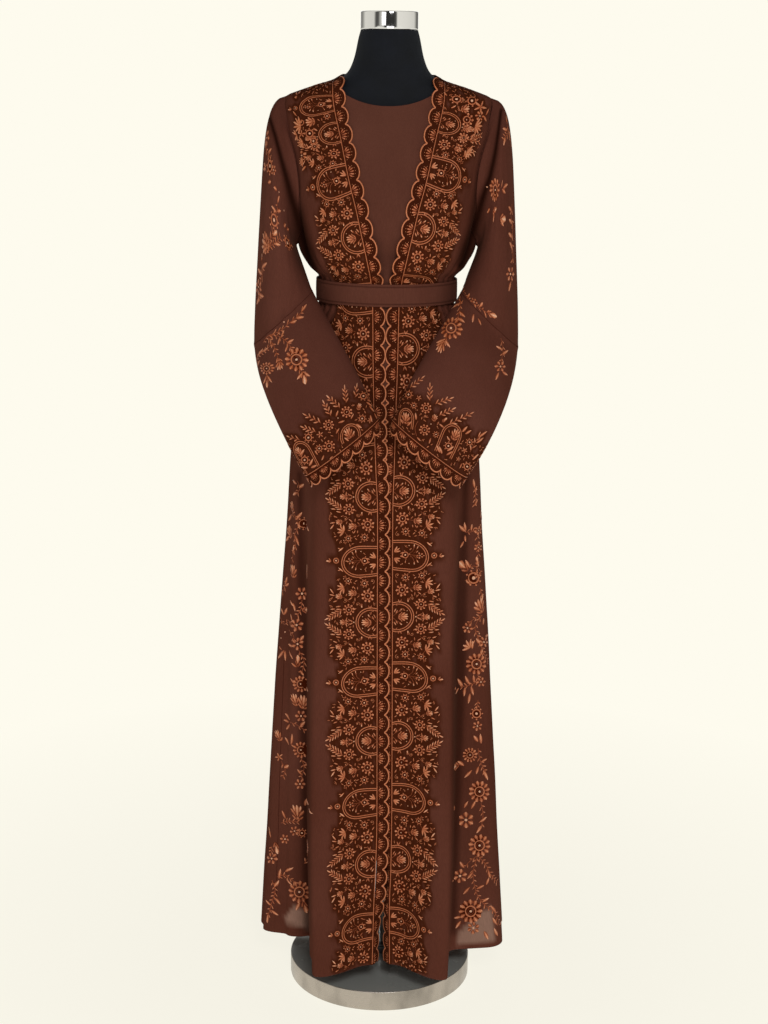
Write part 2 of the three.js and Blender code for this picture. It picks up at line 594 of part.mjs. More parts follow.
// The scalloped border of a cuff, which carries on from the sleeve's end.
function cuffGeometry(side) {
  const count = SCALLOP.cuffCount * SCALLOP.steps;
  const fine = turns(720).map((turn) => ({ turn, point: sleevePoint(side, CUFF_SECTION, turn) }));
  const lengths = [0];
  fine.forEach(({ point }, k) => {
    lengths.push(lengths[k] + point.distanceTo(fine[(k + 1) % fine.length].point));
  });
  const total = lengths[fine.length];
  const [outer, inner] = [[[], []], [[], []]];
  for (let k = 0; k < count; k++) {
    const index = lengths.findIndex((length) => length >= (k / count) * total);
    const turn = fine[index % fine.length].turn;
    const start = sleevePoint(side, CUFF_SECTION, turn);
    const normal = sleeveNormal(side, CUFF_SECTION, turn);
    const along = start.clone().sub(sleevePoint(side, CUFF_SECTION - 0.3, turn)).normalize();
    const innerShare = (1 - Math.cos(turn)) / 2;
    const hanging = along.clone().lerp(new THREE.Vector3(0, 0, -1), 0.75 * innerShare).normalize();
    const width = scallopWidth((k % SCALLOP.steps) / SCALLOP.steps);
    const root = start.clone().addScaledVector(along, 0.5);
    [0, width].forEach((w, i) => {
      const point = root.clone().addScaledVector(hanging, w);
      outer[i].push(point);
      inner[i].push(point.clone().addScaledVector(normal, -CLOTH.wall));
    });
  }
  return wallGeometry(outer, inner, true);
}

// ---------- belt ----------
// The belt runs round the waist and its end laps over its start at the centre back.
function beltGeometry() {
  const girth = 2 * Math.PI * 105;
  const sweep = 2 * Math.PI * (1 + BELT.overlap / girth);
  const [outer, inner] = [[], []];
  for (let k = 0; k <= BELT.sides; k++) {
    const turn = Math.PI - (sweep * BELT.overlap) / girth / 4 + (sweep * k) / BELT.sides;
    const lap = (BELT.wall + 0.5) * smooth(2 * Math.PI - 0.9, 2 * Math.PI - 0.1, (sweep * k) / BELT.sides);
    const point = (z, grow) => {
      const across = atHeight(CLOTH_RINGS, "side", BELT.middle) + grow;
      const depth = atHeight(CLOTH_RINGS, Math.cos(turn) > 0 ? "front" : "back", BELT.middle) + grow;
      return new THREE.Vector3(across * Math.sin(turn), -depth * Math.cos(turn), z);
    };
    const [low, high] = [BELT.middle - BELT.width / 2, BELT.middle + BELT.width / 2];
    outer.push([point(low, BELT.clear + BELT.wall + lap), point(high, BELT.clear + BELT.wall + lap)]);
    inner.push([point(low, BELT.clear + lap), point(high, BELT.clear + lap)]);
  }
  return wallGeometry(outer, inner);
}

// ---------- dress form ----------
function torsoGeometry() {
  const sides = 24;
  return loftGeometry(
    FORM_RINGS.map(({ z }) =>
      turns(sides).map((turn) => {
        const degrees = (turn * 180) / Math.PI;
        const side = degrees <= 180 ? 1 : -1;
        return ringPoint(FORM_RINGS, side, Math.min(degrees, 360 - degrees), z);
      }),
    ),
  );
}

// ---------- the object ----------
const FABRIC = { color: 0x5a3328, roughness: 0.72, metalness: 0 };
const BORDER = { color: 0xa5592f, roughness: 0.6, metalness: 0 };
const BELT_CLOTH = { color: 0x623a2d, roughness: 0.68, metalness: 0 };
const FORM_COVER = { color: 0x161b26, roughness: 0.85, metalness: 0 };
const CHROME = { color: 0xe2e2e4, roughness: 0.08, metalness: 1 };
const STEEL = { color: 0xa9a59f, roughness: 0.32, metalness: 1 };

const object = new THREE.Group();
function add(name, geometry, finish) {
  const material = new THREE.MeshStandardMaterial({ ...finish, side: THREE.DoubleSide });
  const mesh = new THREE.Mesh(geometry, material);
  mesh.name = name;
  object.add(mesh);
}

const torsoTop = FORM_RINGS[0].z;
const torsoBottom = FORM_RINGS[FORM_RINGS.length - 1].z;
add("form_base", turnedGeometry(BASE.radius, 0, BASE.height, BASE.edge, BASE.sides), STEEL);
const collarBottom = BASE.height + CLOTH.seam;
const collarTop = collarBottom + COLLAR.height;
const collar = turnedGeometry(COLLAR.radius, collarBottom, collarTop, COLLAR.edge, POLE.sides);
add("form_collar", collar, CHROME);
const poleTop = torsoBottom - CLOTH.seam;
add("form_pole", turnedGeometry(POLE.radius, collarTop + CLOTH.seam, poleTop, 0.5, POLE.sides), CHROME);
add("form_torso", torsoGeometry(), FORM_COVER);
const capBottom = torsoTop + CLOTH.seam;
add("form_neck_cap", turnedGeometry(NECK_CAP.radius, capBottom, NECK_CAP.top, NECK_CAP.edge, 40), CHROME);
add("abaya_insert", insertGeometry(), FABRIC);
add("abaya_back", backGeometry(), FABRIC);
for (const side of [1, -1]) {
  const name = sideName(side);
  add(`abaya_front_${name}`, frontGeometry(side), FABRIC);
  add(`abaya_border_${name}`, borderGeometry(side), BORDER);
  add(`sleeve_upper_${name}`, upperSleeveGeometry(side), FABRIC);
  add(`sleeve_lower_${name}`, lowerSleeveGeometry(side), FABRIC);
  add(`sleeve_border_${name}`, cuffGeometry(side), BORDER);
}
add("abaya_belt", beltGeometry(), BELT_CLOTH);

export default object;
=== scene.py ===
"""An open-front abaya with copper embroidery and a belt, on a limbless dress form with a round base.

Lengths in the tables are millimetres, as in the part's own source; meshes are made in metres.
+Z is up, the garment faces -Y and the wearer's left is +X.
"""
import math

import bpy
import numpy as np
from mathutils import Matrix, Vector
from mathutils.kdtree import KDTree


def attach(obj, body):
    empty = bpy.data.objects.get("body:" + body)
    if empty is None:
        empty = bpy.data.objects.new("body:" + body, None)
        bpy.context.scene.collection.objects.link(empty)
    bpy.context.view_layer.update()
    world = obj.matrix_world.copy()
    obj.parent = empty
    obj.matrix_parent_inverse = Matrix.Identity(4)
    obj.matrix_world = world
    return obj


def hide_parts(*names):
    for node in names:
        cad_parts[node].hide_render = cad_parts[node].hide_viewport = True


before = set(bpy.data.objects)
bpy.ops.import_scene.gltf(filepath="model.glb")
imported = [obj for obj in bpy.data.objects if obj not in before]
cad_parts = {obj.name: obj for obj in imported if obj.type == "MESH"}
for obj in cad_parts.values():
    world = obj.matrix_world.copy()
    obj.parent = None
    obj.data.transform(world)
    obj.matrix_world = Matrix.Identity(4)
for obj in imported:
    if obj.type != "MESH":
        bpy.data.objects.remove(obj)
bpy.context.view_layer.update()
MM = 0.001

# ---------------------------------------------------------------- the source's dimensions
BASE = {"radius": 160.5, "height": 35}
COLLAR = {"radius": 18, "height": 14}
POLE = {"radius": 11, "top": 884.7}
PART_GAP = 0.3
NECK_CAP = {"radius": 46.5, "bottom": 1651.3, "top": 1680}
CLOTH = {"wall": 1.0, "seam": 0.05, "hem": 78, "shoulder": 1571, "back_neck": 1581}
BELT = {"middle": 1235, "width": 36, "wall": 2.2, "clear": 3.8, "overlap": 70}
BELT_ROUND = 2 * np.pi * 105
SCALLOP = {"pitch": 31.0, "notch": 10.4, "depth": 10.0, "cuff_count": 15}
CURL = {"turn": 62, "over": 110, "left": 345, "right": 240}
ARMHOLE = {"top": 1546, "bottom": 1306, "angle": 25}
INSERT = {"clear": 1.9, "under": 2.5, "drop": 1533, "side": 1558, "half": 80, "behind": 26, "bottom": 905}
RIDGE_LINE = 0.5

# z, side, front, back: half widths of the dress form
FORM_RINGS = [
    (1651, 46, 46, 46), (1638, 49.5, 50, 50), (1610, 55.5, 56, 57), (1592, 62, 59, 62), (1583, 68, 61, 64),
    (1575, 78, 61, 66), (1568, 91, 60, 66), (1559, 121, 58, 65), (1549, 149, 57, 65), (1541, 162, 59, 67),
    (1525, 166, 66, 73), (1500, 165, 78, 82), (1450, 157, 99, 94), (1400, 150, 114, 99),
    (1365, 146, 119, 98),
    (1330, 138, 114, 94), (1290, 123, 96, 86), (1250, 107.5, 82, 79), (1217, 105.5, 81, 78),
    (1150, 122, 91, 95),
    (1080, 138, 101, 111), (1000, 148, 106, 118), (930, 146, 102, 112), (898, 139, 96, 104),
    (885, 128, 86, 93),
]
# z, side, front, back: half widths of the cloth's outer face before its folds
CLOTH_RINGS = [
    (1584, 70, 66, 69), (1579, 80, 66, 71), (1572, 92, 65, 71), (1563, 121, 63, 70), (1553, 150, 62, 70),
    (1546, 166, 64, 72), (1530, 171, 70, 77), (1500, 171, 84, 88), (1450, 163, 105, 100),
    (1400, 156, 120, 106),
    (1365, 152, 126, 106), (1335, 147, 125, 103), (1300, 139, 119, 98), (1273, 126, 106, 93),
    (1256, 111.5, 90, 86),
    (1214, 111, 89.5, 86), (1190, 123, 99, 95), (1150, 136, 109, 107), (1050, 152, 120, 123),
    (950, 160, 126, 130),
    (870, 165, 130, 134), (730, 176, 137, 141), (510, 190, 145, 152), (285, 203, 151, 162),
    (75, 216, 155, 172),
]
# z, left, right: distance of each front's edge line from the middle
EDGE_LINE = [
    (1571, 89, 89), (1547, 88, 88), (1480, 74, 74), (1410, 58.5, 58.5), (1375, 49, 49), (1340, 41, 41),
    (1295, 31, 31), (1256, 23.5, 24), (1217, 19.5, 21), (1140, 18.4, 19.6), (1060, 16.6, 17.6),
    (950, 14.5, 13), (890, 13.2, 10),
    (700, 14.7, 8.5), (520, 16.4, 7.3), (330, 18, 6), (250, 17.5, 8), (190, 16, 10), (78, 17.6, 12),
]
# z, angle of the front's outer fold from the middle of the front
RIDGE_ANGLE = [
    (1571, 88), (1547, 62), (1400, 55), (1235, 48), (900, 47), (700, 42), (500, 39), (300, 36), (75, 31),
]
# at, toFront, toBack, left, right, top: folds by girth, with their depth at the hem
SKIRT_FOLDS = [
    (0, 0.22, 0.22, -14, -14, 700), (0.4, 0.32, 0.14, 58, 50, 1150), (0.6, 0.12, 0.2, -34, 0, 1200),
    (0.69, 0.2, 0.15, 0, -78, 1120), (0.84, 0.13, 0.14, 14, -42, 1050), (1, 0.1, 0.08, -2, -6, 1000),
    (1.14, 0.12, 0.12, 12, 4, 1100), (1.32, 0.12, 0.1, -26, -22, 1180), (1.48, 0.12, 0.12, 24, 26, 1150),
    (1.66, 0.11, 0.1, -24, -26, 1180), (1.82, 0.11, 0.1, 24, 22, 1150), (2, 0.1, 0.1, -16, -16, 1150),
]
# at, toFront, toBack, depth, low, high
BODICE_FOLDS = [
    (0.6, 0.2, 0.14, 5, 1258, 1400), (0.76, 0.1, 0.1, -6, 1258, 1400), (0.88, 0.1, 0.12, 5, 1258, 1360),
    (1.32, 0.2, 0.2, 6, 1258, 1470), (1.6, 0.16, 0.16, -3, 1258, 1420), (1.82, 0.18, 0.18, 5, 1258, 1470),
]
GATHERS = {"from": 0.34, "count": 9, "depth": 2.4, "under": 0.9, "reach": 75}
LAP = {"lift": 2.4, "full": 0.06, "none": 0.3}
# ox, oy, oz, ix, iy, iz, front, back, left: outer and inner ends of each sleeve section
SLEEVE_SECTIONS = [
    (166, 0, 1546, 139, 0, 1306, 47, 47, 0), (178, 0, 1541, 144, -1, 1308, 55, 53, 0),
    (188, -1, 1529, 148, -2, 1306, 60, 57, 0), (196, -2, 1505, 149, -4, 1300, 63, 59, 0),
    (202.5, -4, 1460, 146, -8, 1290, 64, 58, 0), (208, -8, 1380, 140, -15, 1278, 64, 57, 0),
    (213, -14, 1290, 133, -26, 1263, 62, 54, 0), (217, -22, 1205, 127, -38, 1248, 59, 50, 0),
    (217.5, -34, 1145, 121, -50, 1236, 53, 42, 0), (209, -68, 1106, 97, -82, 1198, 45, 33, 2),
    (194, -100, 1070, 70, -110, 1155, 39, 28, 5), (174, -126, 1030, 44, -134, 1112, 35, 25, 7),
    (152, -146, 990, 25, -151, 1076, 33, 24, 7), (128, -160, 951, 10, -162, 1046, 36, 28, 5),
]
ELBOW, CUFF = 8, len(SLEEVE_SECTIONS) - 1
SLEEVE_CLEAR = {"body": 2.5, "belt": 8, "skirt": 9}

# ---------------------------------------------------------------- small maths
def smooth(none, full, value):
    """Eases from 0 at the first value to 1 at the second, whichever is the larger."""
    t = np.clip((np.asarray(value, float) - none) / (full - none), 0, 1)
    return t * t * (3 - 2 * t)


def mix(a, b, t):
    return a + (b - a) * t


def unit(v):
    return v / np.maximum(np.linalg.norm(v, axis=-1, keepdims=True), 1e-12)


def hermite(v0, v1, m0, m1, t):
    return v0 + t * (m0 + t * (3 * (v1 - v0) - 2 * m0 - m1 + t * (2 * (v0 - v1) + m0 + m1)))


def by_height(rows, *names):
    """Monotone cubics through a table's columns, as functions of z."""
    table = np.array(rows, float)[::-1]
    z = table[:, 0]

    def column(v):
        slope = np.diff(v) / np.diff(z)
        a, b = slope[:-1], slope[1:]
        same = a * b > 0
        inner = np.where(same, 2 * a * b / np.where(same, a + b, 1), 0)
        tangent = np.concatenate([slope[:1], inner, slope[-1:]])

        def at(q):
            q = np.asarray(q, float)
            i = np.clip(np.searchsorted(z, q) - 1, 0, len(z) - 2)
            span = z[i + 1] - z[i]
            t = np.clip((q - z[i]) / span, 0, 1)
            within = hermite(v[i], v[i + 1], tangent[i] * span, tangent[i + 1] * span, t)
            above, below = np.maximum(q - z[-1], 0), np.minimum(q - z[0], 0)
            return within + above * tangent[-1] + below * tangent[0]

        return at

    return {name: column(table[:, k + 1]) for k, name in enumerate(names)}


FORM = by_height(FORM_RINGS, "side", "front", "back")
OUTER = by_height(CLOTH_RINGS, "side", "front", "back")
EDGE = by_height(EDGE_LINE, "left", "right")
RIDGE = by_height(RIDGE_ANGLE, "angle")["angle"]


class Noise:
    """Smooth seeded noise from -1 to 1 over a plane."""

    def __init__(self, seed, size=64):
        self.size = size
        self.lattice = np.random.default_rng(seed).uniform(-1, 1, (size, size))

    def __call__(self, x, y):
        x, y = np.broadcast_arrays(np.asarray(x, float), np.asarray(y, float))
        i, j = np.floor(x).astype(int), np.floor(y).astype(int)
        u, v = x - i, y - j
        u, v = u * u * (3 - 2 * u), v * v * (3 - 2 * v)
        n, g = self.size, self.lattice
        low = mix(g[i % n, j % n], g[(i + 1) % n, j % n], u)
        high = mix(g[i % n, (j + 1) % n], g[(i + 1) % n, (j + 1) % n], u)
        return mix(low, high, v)


def bump(value, at, before, after):
    reach = np.where(value < at, before, after)
    share = np.minimum(np.abs(value - at) / reach, 1)
    return np.cos(share * np.pi / 2) ** 2


def side_name(side):
    return "left" if side > 0 else "right"


# ---------------------------------------------------------------- the cloth's surface
def ring_point(rings, side, angle, z, grow=0.0):
    angle, z = np.broadcast_arrays(np.asarray(angle, float), np.asarray(z, float))
    a = np.radians(angle)
    depth = np.where(angle <= 90, rings["front"](z), rings["back"](z)) + grow
    return np.stack([side * (rings["side"](z) + grow) * np.sin(a), -depth * np.cos(a), z], -1)


def edge_angle(side, z):
    return np.degrees(np.arcsin(np.clip(EDGE[side_name(side)](z) / OUTER["side"](z), -1, 1)))


def girth_angle(side, girth, z):
    edge = edge_angle(side, z)
    ridge = np.maximum(RIDGE(z), edge)
    inner = edge + (ridge - edge) * girth / RIDGE_LINE
    middle = ridge + (90 - ridge) * (girth - RIDGE_LINE) / (1 - RIDGE_LINE)
    return np.where(girth <= RIDGE_LINE, inner, np.where(girth <= 1, middle, 90 * girth))


crease_noise, ripple_noise, drift_noise = Noise(11), Noise(12), Noise(13)


def fine_creases(side, girth, z):
    """Small uneven creases and finer gathers at the belt, which the solids leave out."""
    from_belt = np.maximum(np.abs(z - BELT["middle"]) - BELT["width"] / 2, 0)
    skirt = smooth(1180, 900, z)
    seed = 20 if side > 0 else 40
    soft = crease_noise(girth * 9 + seed, z / 260) * mix(0.5, 1.5, skirt)
    fine = ripple_noise(girth * 22 + seed, z / 120 + girth * 3) * 0.3
    sway = drift_noise(girth * 4 + seed, z / 90) * 0.5
    near = smooth(0.1, 0.35, girth)
    pleats = np.cos(2 * np.pi * (21 * girth + 0.8 * drift_noise(girth * 9 + seed, z / 60)))
    pleat_depth = 0.8 * smooth(95, 6, from_belt) * smooth(0, 6, from_belt) * smooth(0.3, 0.45, girth)
    return (soft + fine + sway) * mix(0.25, 1.0, near) * smooth(0, 30, from_belt) + pleats * pleat_depth


def fold_depth(side, girth, z, fine=True):
    depth = np.zeros(np.broadcast(girth, z).shape)
    for at, before, after, left, right, top in SKIRT_FOLDS:
        drop = np.clip((top - z) / (top - CLOTH["hem"]), 0, 1.1)
        depth += (left if side > 0 else right) * drop**1.15 * bump(girth, at, before, after)
    for at, before, after, size, low, high in BODICE_FOLDS:
        share = np.clip((z - low) / (high - low), 0, 1)
        depth += size * np.sin(share * np.pi) ** 2 * bump(girth, at, before, after)
    from_belt = np.maximum(np.abs(z - BELT["middle"]) - BELT["width"] / 2, 0)
    fade = np.clip(1 - from_belt / GATHERS["reach"], 0, 1) * smooth(GATHERS["from"], GATHERS["from"] + 0.12,
        girth)
    gather = mix(GATHERS["under"], GATHERS["depth"], smooth(0, 14, from_belt))
    depth += gather * fade * np.cos(2 * np.pi * GATHERS["count"] * (girth - 2))
    if side < 0:
        depth += LAP["lift"] * (1 - smooth(LAP["full"], LAP["none"], girth)) * smooth(1420, 1270, z)
    return depth + (fine_creases(side, girth, z) if fine else 0)


def cloth_point(side, girth, z, fine=True):
    """The cloth's outer face at a girth coordinate and height."""
    girth, z = np.broadcast_arrays(np.asarray(girth, float), np.asarray(z, float))
    angle = girth_angle(side, girth, z)
    point = ring_point(OUTER, side, angle, z)
    a = np.radians(angle)
    depth = np.where(angle <= 90, OUTER["front"](z), OUTER["back"](z))
    out = unit(np.stack([side * np.sin(a) / OUTER["side"](z), -np.cos(a) / depth, 0 * z], -1))
    return point + out * fold_depth(side, girth, z, fine)[..., None]


def cloth_normal(side, girth, z):
    along = cloth_point(side, girth + 0.004, z) - cloth_point(side, girth - 0.004, z)
    down = cloth_point(side, girth, z + 0.8) - cloth_point(side, girth, z - 0.8)
    return unit(np.cross(along, down)) * side


def armhole_cut(z):
    share = (z - (ARMHOLE["top"] + ARMHOLE["bottom"]) / 2) / ((ARMHOLE["top"] - ARMHOLE["bottom"]) / 2)
    return ARMHOLE["angle"] * np.sqrt(np.clip(1 - share * share, 0, 1))


def onto_cloth(point):
    """Moves points to the cloth's unfolded surface along the surface's slope."""

    def level(p):
        depth = np.where(p[..., 1] < 0, OUTER["front"](p[..., 2]), OUTER["back"](p[..., 2]))
        return (p[..., 0] / OUTER["side"](p[..., 2])) ** 2 + (p[..., 1] / depth) ** 2 - 1

    for _ in range(5):
        slope = np.stack([(level(point + e) - level(point - e)) / 0.2 for e in np.eye(3) * 0.1], -1)
        point = point - slope * (level(point) / (slope**2).sum(-1))[..., None]
    return point


# ---------------------------------------------------------------- sleeves
SECTION_COLUMNS = dict(zip("ox oy oz ix iy iz front back left".split(), np.array(SLEEVE_SECTIONS, float).T))


def section(name, at):
    v = SECTION_COLUMNS[name]
    last = len(v) - 1
    i = np.clip(np.floor(at).astype(int), 0, last - 1)
    a, b, c, d = (v[np.clip(i + k, 0, last)] for k in (-1, 0, 1, 2))
    return hermite(b, c, (c - a) / 2, (d - b) / 2, at - i)


def armhole_place(turn):
    z = (ARMHOLE["top"] + ARMHOLE["bottom"]) / 2 + (ARMHOLE["top"] - ARMHOLE["bottom"]) / 2 * np.cos(turn)
    angle = 90 - ARMHOLE["angle"] * np.sin(turn)
    ridge = RIDGE(z)
    front = RIDGE_LINE + (angle - ridge) / (90 - ridge) * (1 - RIDGE_LINE)
    return np.where(angle >= 90, angle / 90, front), z


def sleeve_oval(side, at, turn):
    outer = np.stack([side * section("ox", at), section("oy", at), section("oz", at)], -1)
    inner = np.stack([side * section("ix", at), section("iy", at), section("iz", at)], -1)
    if side > 0:
        outer[..., 0] += section("left", at)
    depth = np.where(np.sin(turn) > 0, section("front", at), section("back", at))
    point = (outer + inner) / 2 + (outer - inner) * (np.cos(turn) / 2)[..., None]
    point[..., 1] -= depth * np.sin(turn)
    return point


def clear_of_body(point, amount):
    z = point[..., 2]
    half, wide = BELT["width"] / 2 + 4, BELT["width"]
    belt = smooth(BELT["middle"] + wide, BELT["middle"] + half, z) * smooth(BELT["middle"] - wide,
        BELT["middle"] - half, z)
    skirt = SLEEVE_CLEAR["skirt"] * smooth(1230, 1100, z)
    room = (np.maximum(SLEEVE_CLEAR["body"], skirt) + belt
        * (SLEEVE_CLEAR["belt"] - SLEEVE_CLEAR["body"])) * amount
    across = point[..., 0] / (OUTER["side"](z) + room)
    depth = np.where(point[..., 1] < 0, OUTER["front"](z), OUTER["back"](z))
    share = np.hypot(across, point[..., 1] / (depth + room))
    point[..., :2] /= np.where(amount > 0, np.minimum(share, 1), 1)[..., None]
    return point


def sleeve_point(side, at, turn):
    at, turn = np.broadcast_arrays(np.asarray(at, float), np.asarray(turn, float))
    point = sleeve_oval(side, at, turn)
    root = cloth_point(side, *armhole_place(turn), fine=False) - sleeve_oval(side, 0 * at, turn)
    point += root * (np.clip(1 - at / 3.5, 0, 1) ** 1.5)[..., None]
    return clear_of_body(point, np.clip(at - 1, 0, 1))


# where, turn in degrees, half width in degrees, half length in sections, slant, depth in mm
SLEEVE_CREASES = [
    (7.6, 130, 16, 2.2, -8, -2.6), (7.9, 100, 13, 1.8, -14, -2.0), (7.2, 158, 14, 1.9, 6, -2.2),
    (8.4, 60, 14, 1.5, -10, -1.6), (6.0, 35, 18, 3.0, 4, 1.6), (5.0, 80, 16, 2.6, 6, -1.6),
    (4.0, 125, 15, 2.2, 10, -1.8), (9.8, 120, 15, 2.0, 5, -1.6), (10.6, 60, 18, 2.4, -6, 1.5),
    (6.4, -60, 16, 2.6, 5, -2.0), (7.8, -110, 15, 2.0, -6, -2.2), (4.2, -30, 18, 2.4, 6, 1.6),
    (9.6, -80, 15, 2.2, 4, -1.4), (11.2, 150, 14, 1.6, 0, 1.2), (3.0, 60, 14, 1.6, 10, -1.4),
]


def sleeve_surface(side, at, turn):
    """The sleeve's outer face with its creases; at runs from the armhole, 0, to the cuff."""
    at, turn = np.broadcast_arrays(np.asarray(at, float), np.asarray(turn, float))
    first = 0.9
    point = sleeve_point(side, np.maximum(at, first), turn)
    girth, z = armhole_place(turn)
    root = cloth_point(side, girth, z, fine=False)
    away = np.stack([0 * turn, -np.sin(turn), np.cos(turn)], -1)
    share = np.clip(at / first, 0, 1)[..., None]
    under = smooth(0.4, 0.9, (1 - np.cos(turn)) / 2)[..., None]
    lift = cloth_normal(side, girth, z) * under * 2.4 * np.clip(share / 0.12, 0, 1)
    point = np.where(share < 1, mix(root - away * 0.45, point, share) + lift * (1 - share), point)
    return point


def sleeve_grid(side, at, turn):
    point = sleeve_surface(side, at, turn)
    step = 0.03
    along = sleeve_surface(side, np.minimum(at + step, CUFF), turn) - sleeve_surface(side,
        np.maximum(at - step, 0), turn)
    across = sleeve_surface(side, at, turn + 0.02) - sleeve_surface(side, at, turn - 0.02)
    normal = unit(np.cross(along, across)) * side
    degrees = np.degrees(turn)
    depth = 0
    for where, middle, half, length, slant, size in SLEEVE_CREASES:
        if side > 0:
            middle, size = middle + 9, size * 0.85
        off = (degrees - middle - slant * (at - where) + 180) % 360 - 180
        shape = np.cos(np.clip(np.abs(off) / half, 0, 1) * np.pi / 2) ** 2
        reach = np.cos(np.clip(np.abs(at - where) / length, 0, 1) * np.pi / 2) ** 2
        depth = depth + size * shape * reach
    seed = 60 if side > 0 else 80
    wave = crease_noise(seed + 9 * np.cos(turn) + at * 0.4, 9 * np.sin(turn) + at * 0.5)
    depth = depth + wave * 0.5 * smooth(0.3, 1.5, at)
    depth = np.minimum(depth, 2.0) * smooth(0.2, 1.2, at) * smooth(CUFF + 0.2, CUFF - 1, at)
    depth = depth - 0.9 * np.exp(-(((at - ELBOW) / 0.09) ** 2))
    crease = bump(at, 0.42, 0.36, 0.5) * bump(degrees, 92, 52, 50) * smooth(0.02, 0.1, at)
    inner = smooth(0.55, 0.95, (1 - np.cos(turn)) / 2)
    return point + normal * (depth * (1 - 0.75 * inner) - 7 * crease)[..., None]


# ---------------------------------------------------------------- meshes
def grid_normals(points, looped=False):
    """Unit normals of a grid of points, rows first."""
    along = np.gradient(points, axis=0)
    if looped:
        across = (np.roll(points, -1, 1) - np.roll(points, 1, 1)) / 2
    else:
        across = np.gradient(points, axis=1)
    return unit(np.cross(across, along))


def make_mesh(name, points, faces, uv=None, attributes=None, material=None, smooth_shade=True, sharp=50):
    """An object from points in millimetres and equal-sided faces, with a UV map in millimetres."""
    mesh = bpy.data.meshes.new(name)
    faces = np.asarray(faces, np.int32)
    sides = faces.shape[1]
    mesh.vertices.add(len(points))
    mesh.vertices.foreach_set("co", (np.asarray(points, float) * MM).ravel())
    mesh.loops.add(faces.size)
    mesh.loops.foreach_set("vertex_index", faces.ravel())
    mesh.polygons.add(len(faces))
    mesh.polygons.foreach_set("loop_start", np.arange(len(faces), dtype=np.int32) * sides)
    mesh.update(calc_edges=True)
    mesh.validate()
    if smooth_shade:
        mesh.polygons.foreach_set("use_smooth", np.ones(len(mesh.polygons), bool))
        mesh.set_sharp_from_angle(angle=math.radians(sharp))
    if uv is not None:
        layer = mesh.uv_layers.new(name="threads")
        index = np.empty(len(mesh.loops), np.int32)
        mesh.loops.foreach_get("vertex_index", index)
        layer.uv.foreach_set("vector", (np.asarray(uv, float)[index] * MM).ravel())
    for key, values in (attributes or {}).items():
        layer = mesh.attributes.new(key, "FLOAT", "POINT")
        layer.data.foreach_set("value", np.asarray(values, np.float32).ravel())
    if material:
        mesh.materials.append(material)
    obj = bpy.data.objects.new(name, mesh)
    bpy.context.scene.collection.objects.link(obj)
    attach(obj, "root")
    return obj


def shell_faces(rows, columns, looped):
    """Faces of a wall between two grids: both skins and the rims."""
    spans = columns if looped else columns - 1
    i, j = np.meshgrid(np.arange(rows - 1), np.arange(spans), indexing="ij")
    k = (j + 1) % columns
    at = lambda layer, a, b: layer * rows * columns + a * columns + b
    outer = np.stack([at(0, i, j), at(0, i + 1, j), at(0, i + 1, k), at(0, i, k)], -1).reshape(-1, 4)
    inner = np.stack([at(1, i, j), at(1, i, k), at(1, i + 1, k), at(1, i + 1, j)], -1).reshape(-1, 4)
    parts = [outer, inner]
    j = np.arange(spans)
    k = (j + 1) % columns
    last = rows - 1
    parts.append(np.stack([at(0, 0, j), at(0, 0, k), at(1, 0, k), at(1, 0, j)], -1))
    parts.append(np.stack([at(0, last, j), at(1, last, j), at(1, last, k), at(0, last, k)], -1))
    if not looped:
        i = np.arange(rows - 1)
        c = columns - 1
        parts.append(np.stack([at(0, i, 0), at(1, i, 0), at(1, i + 1, 0), at(0, i + 1, 0)], -1))
        parts.append(np.stack([at(0, i, c), at(0, i + 1, c), at(1, i + 1, c), at(1, i, c)], -1))
    return np.concatenate(parts)


def flip_outward(points, faces):
    """Turns the faces so that a closed mesh faces outward."""
    a, b, c = (points[faces[:, k]] for k in range(3))
    volume = (a * np.cross(b, c)).sum()
    if faces.shape[1] == 4:
        d = points[faces[:, 3]]
        volume += (a * np.cross(c, d)).sum()
    return faces if volume > 0 else faces[:, ::-1]


def cloth_shell(name, outer, normals, wall, uv, material, looped=False, attributes=None, sharp=50):
    rows, columns = outer.shape[:2]
    inner = outer - normals * wall
    points = np.concatenate([outer.reshape(-1, 3), inner.reshape(-1, 3)])
    faces = flip_outward(points, shell_faces(rows, columns, looped))
    both = lambda v: np.concatenate([np.asarray(v).reshape(rows * columns, -1)] * 2)
    attributes = {k: both(v) for k, v in (attributes or {}).items()}
    return make_mesh(name, points, faces, both(uv), attributes, material, sharp=sharp)


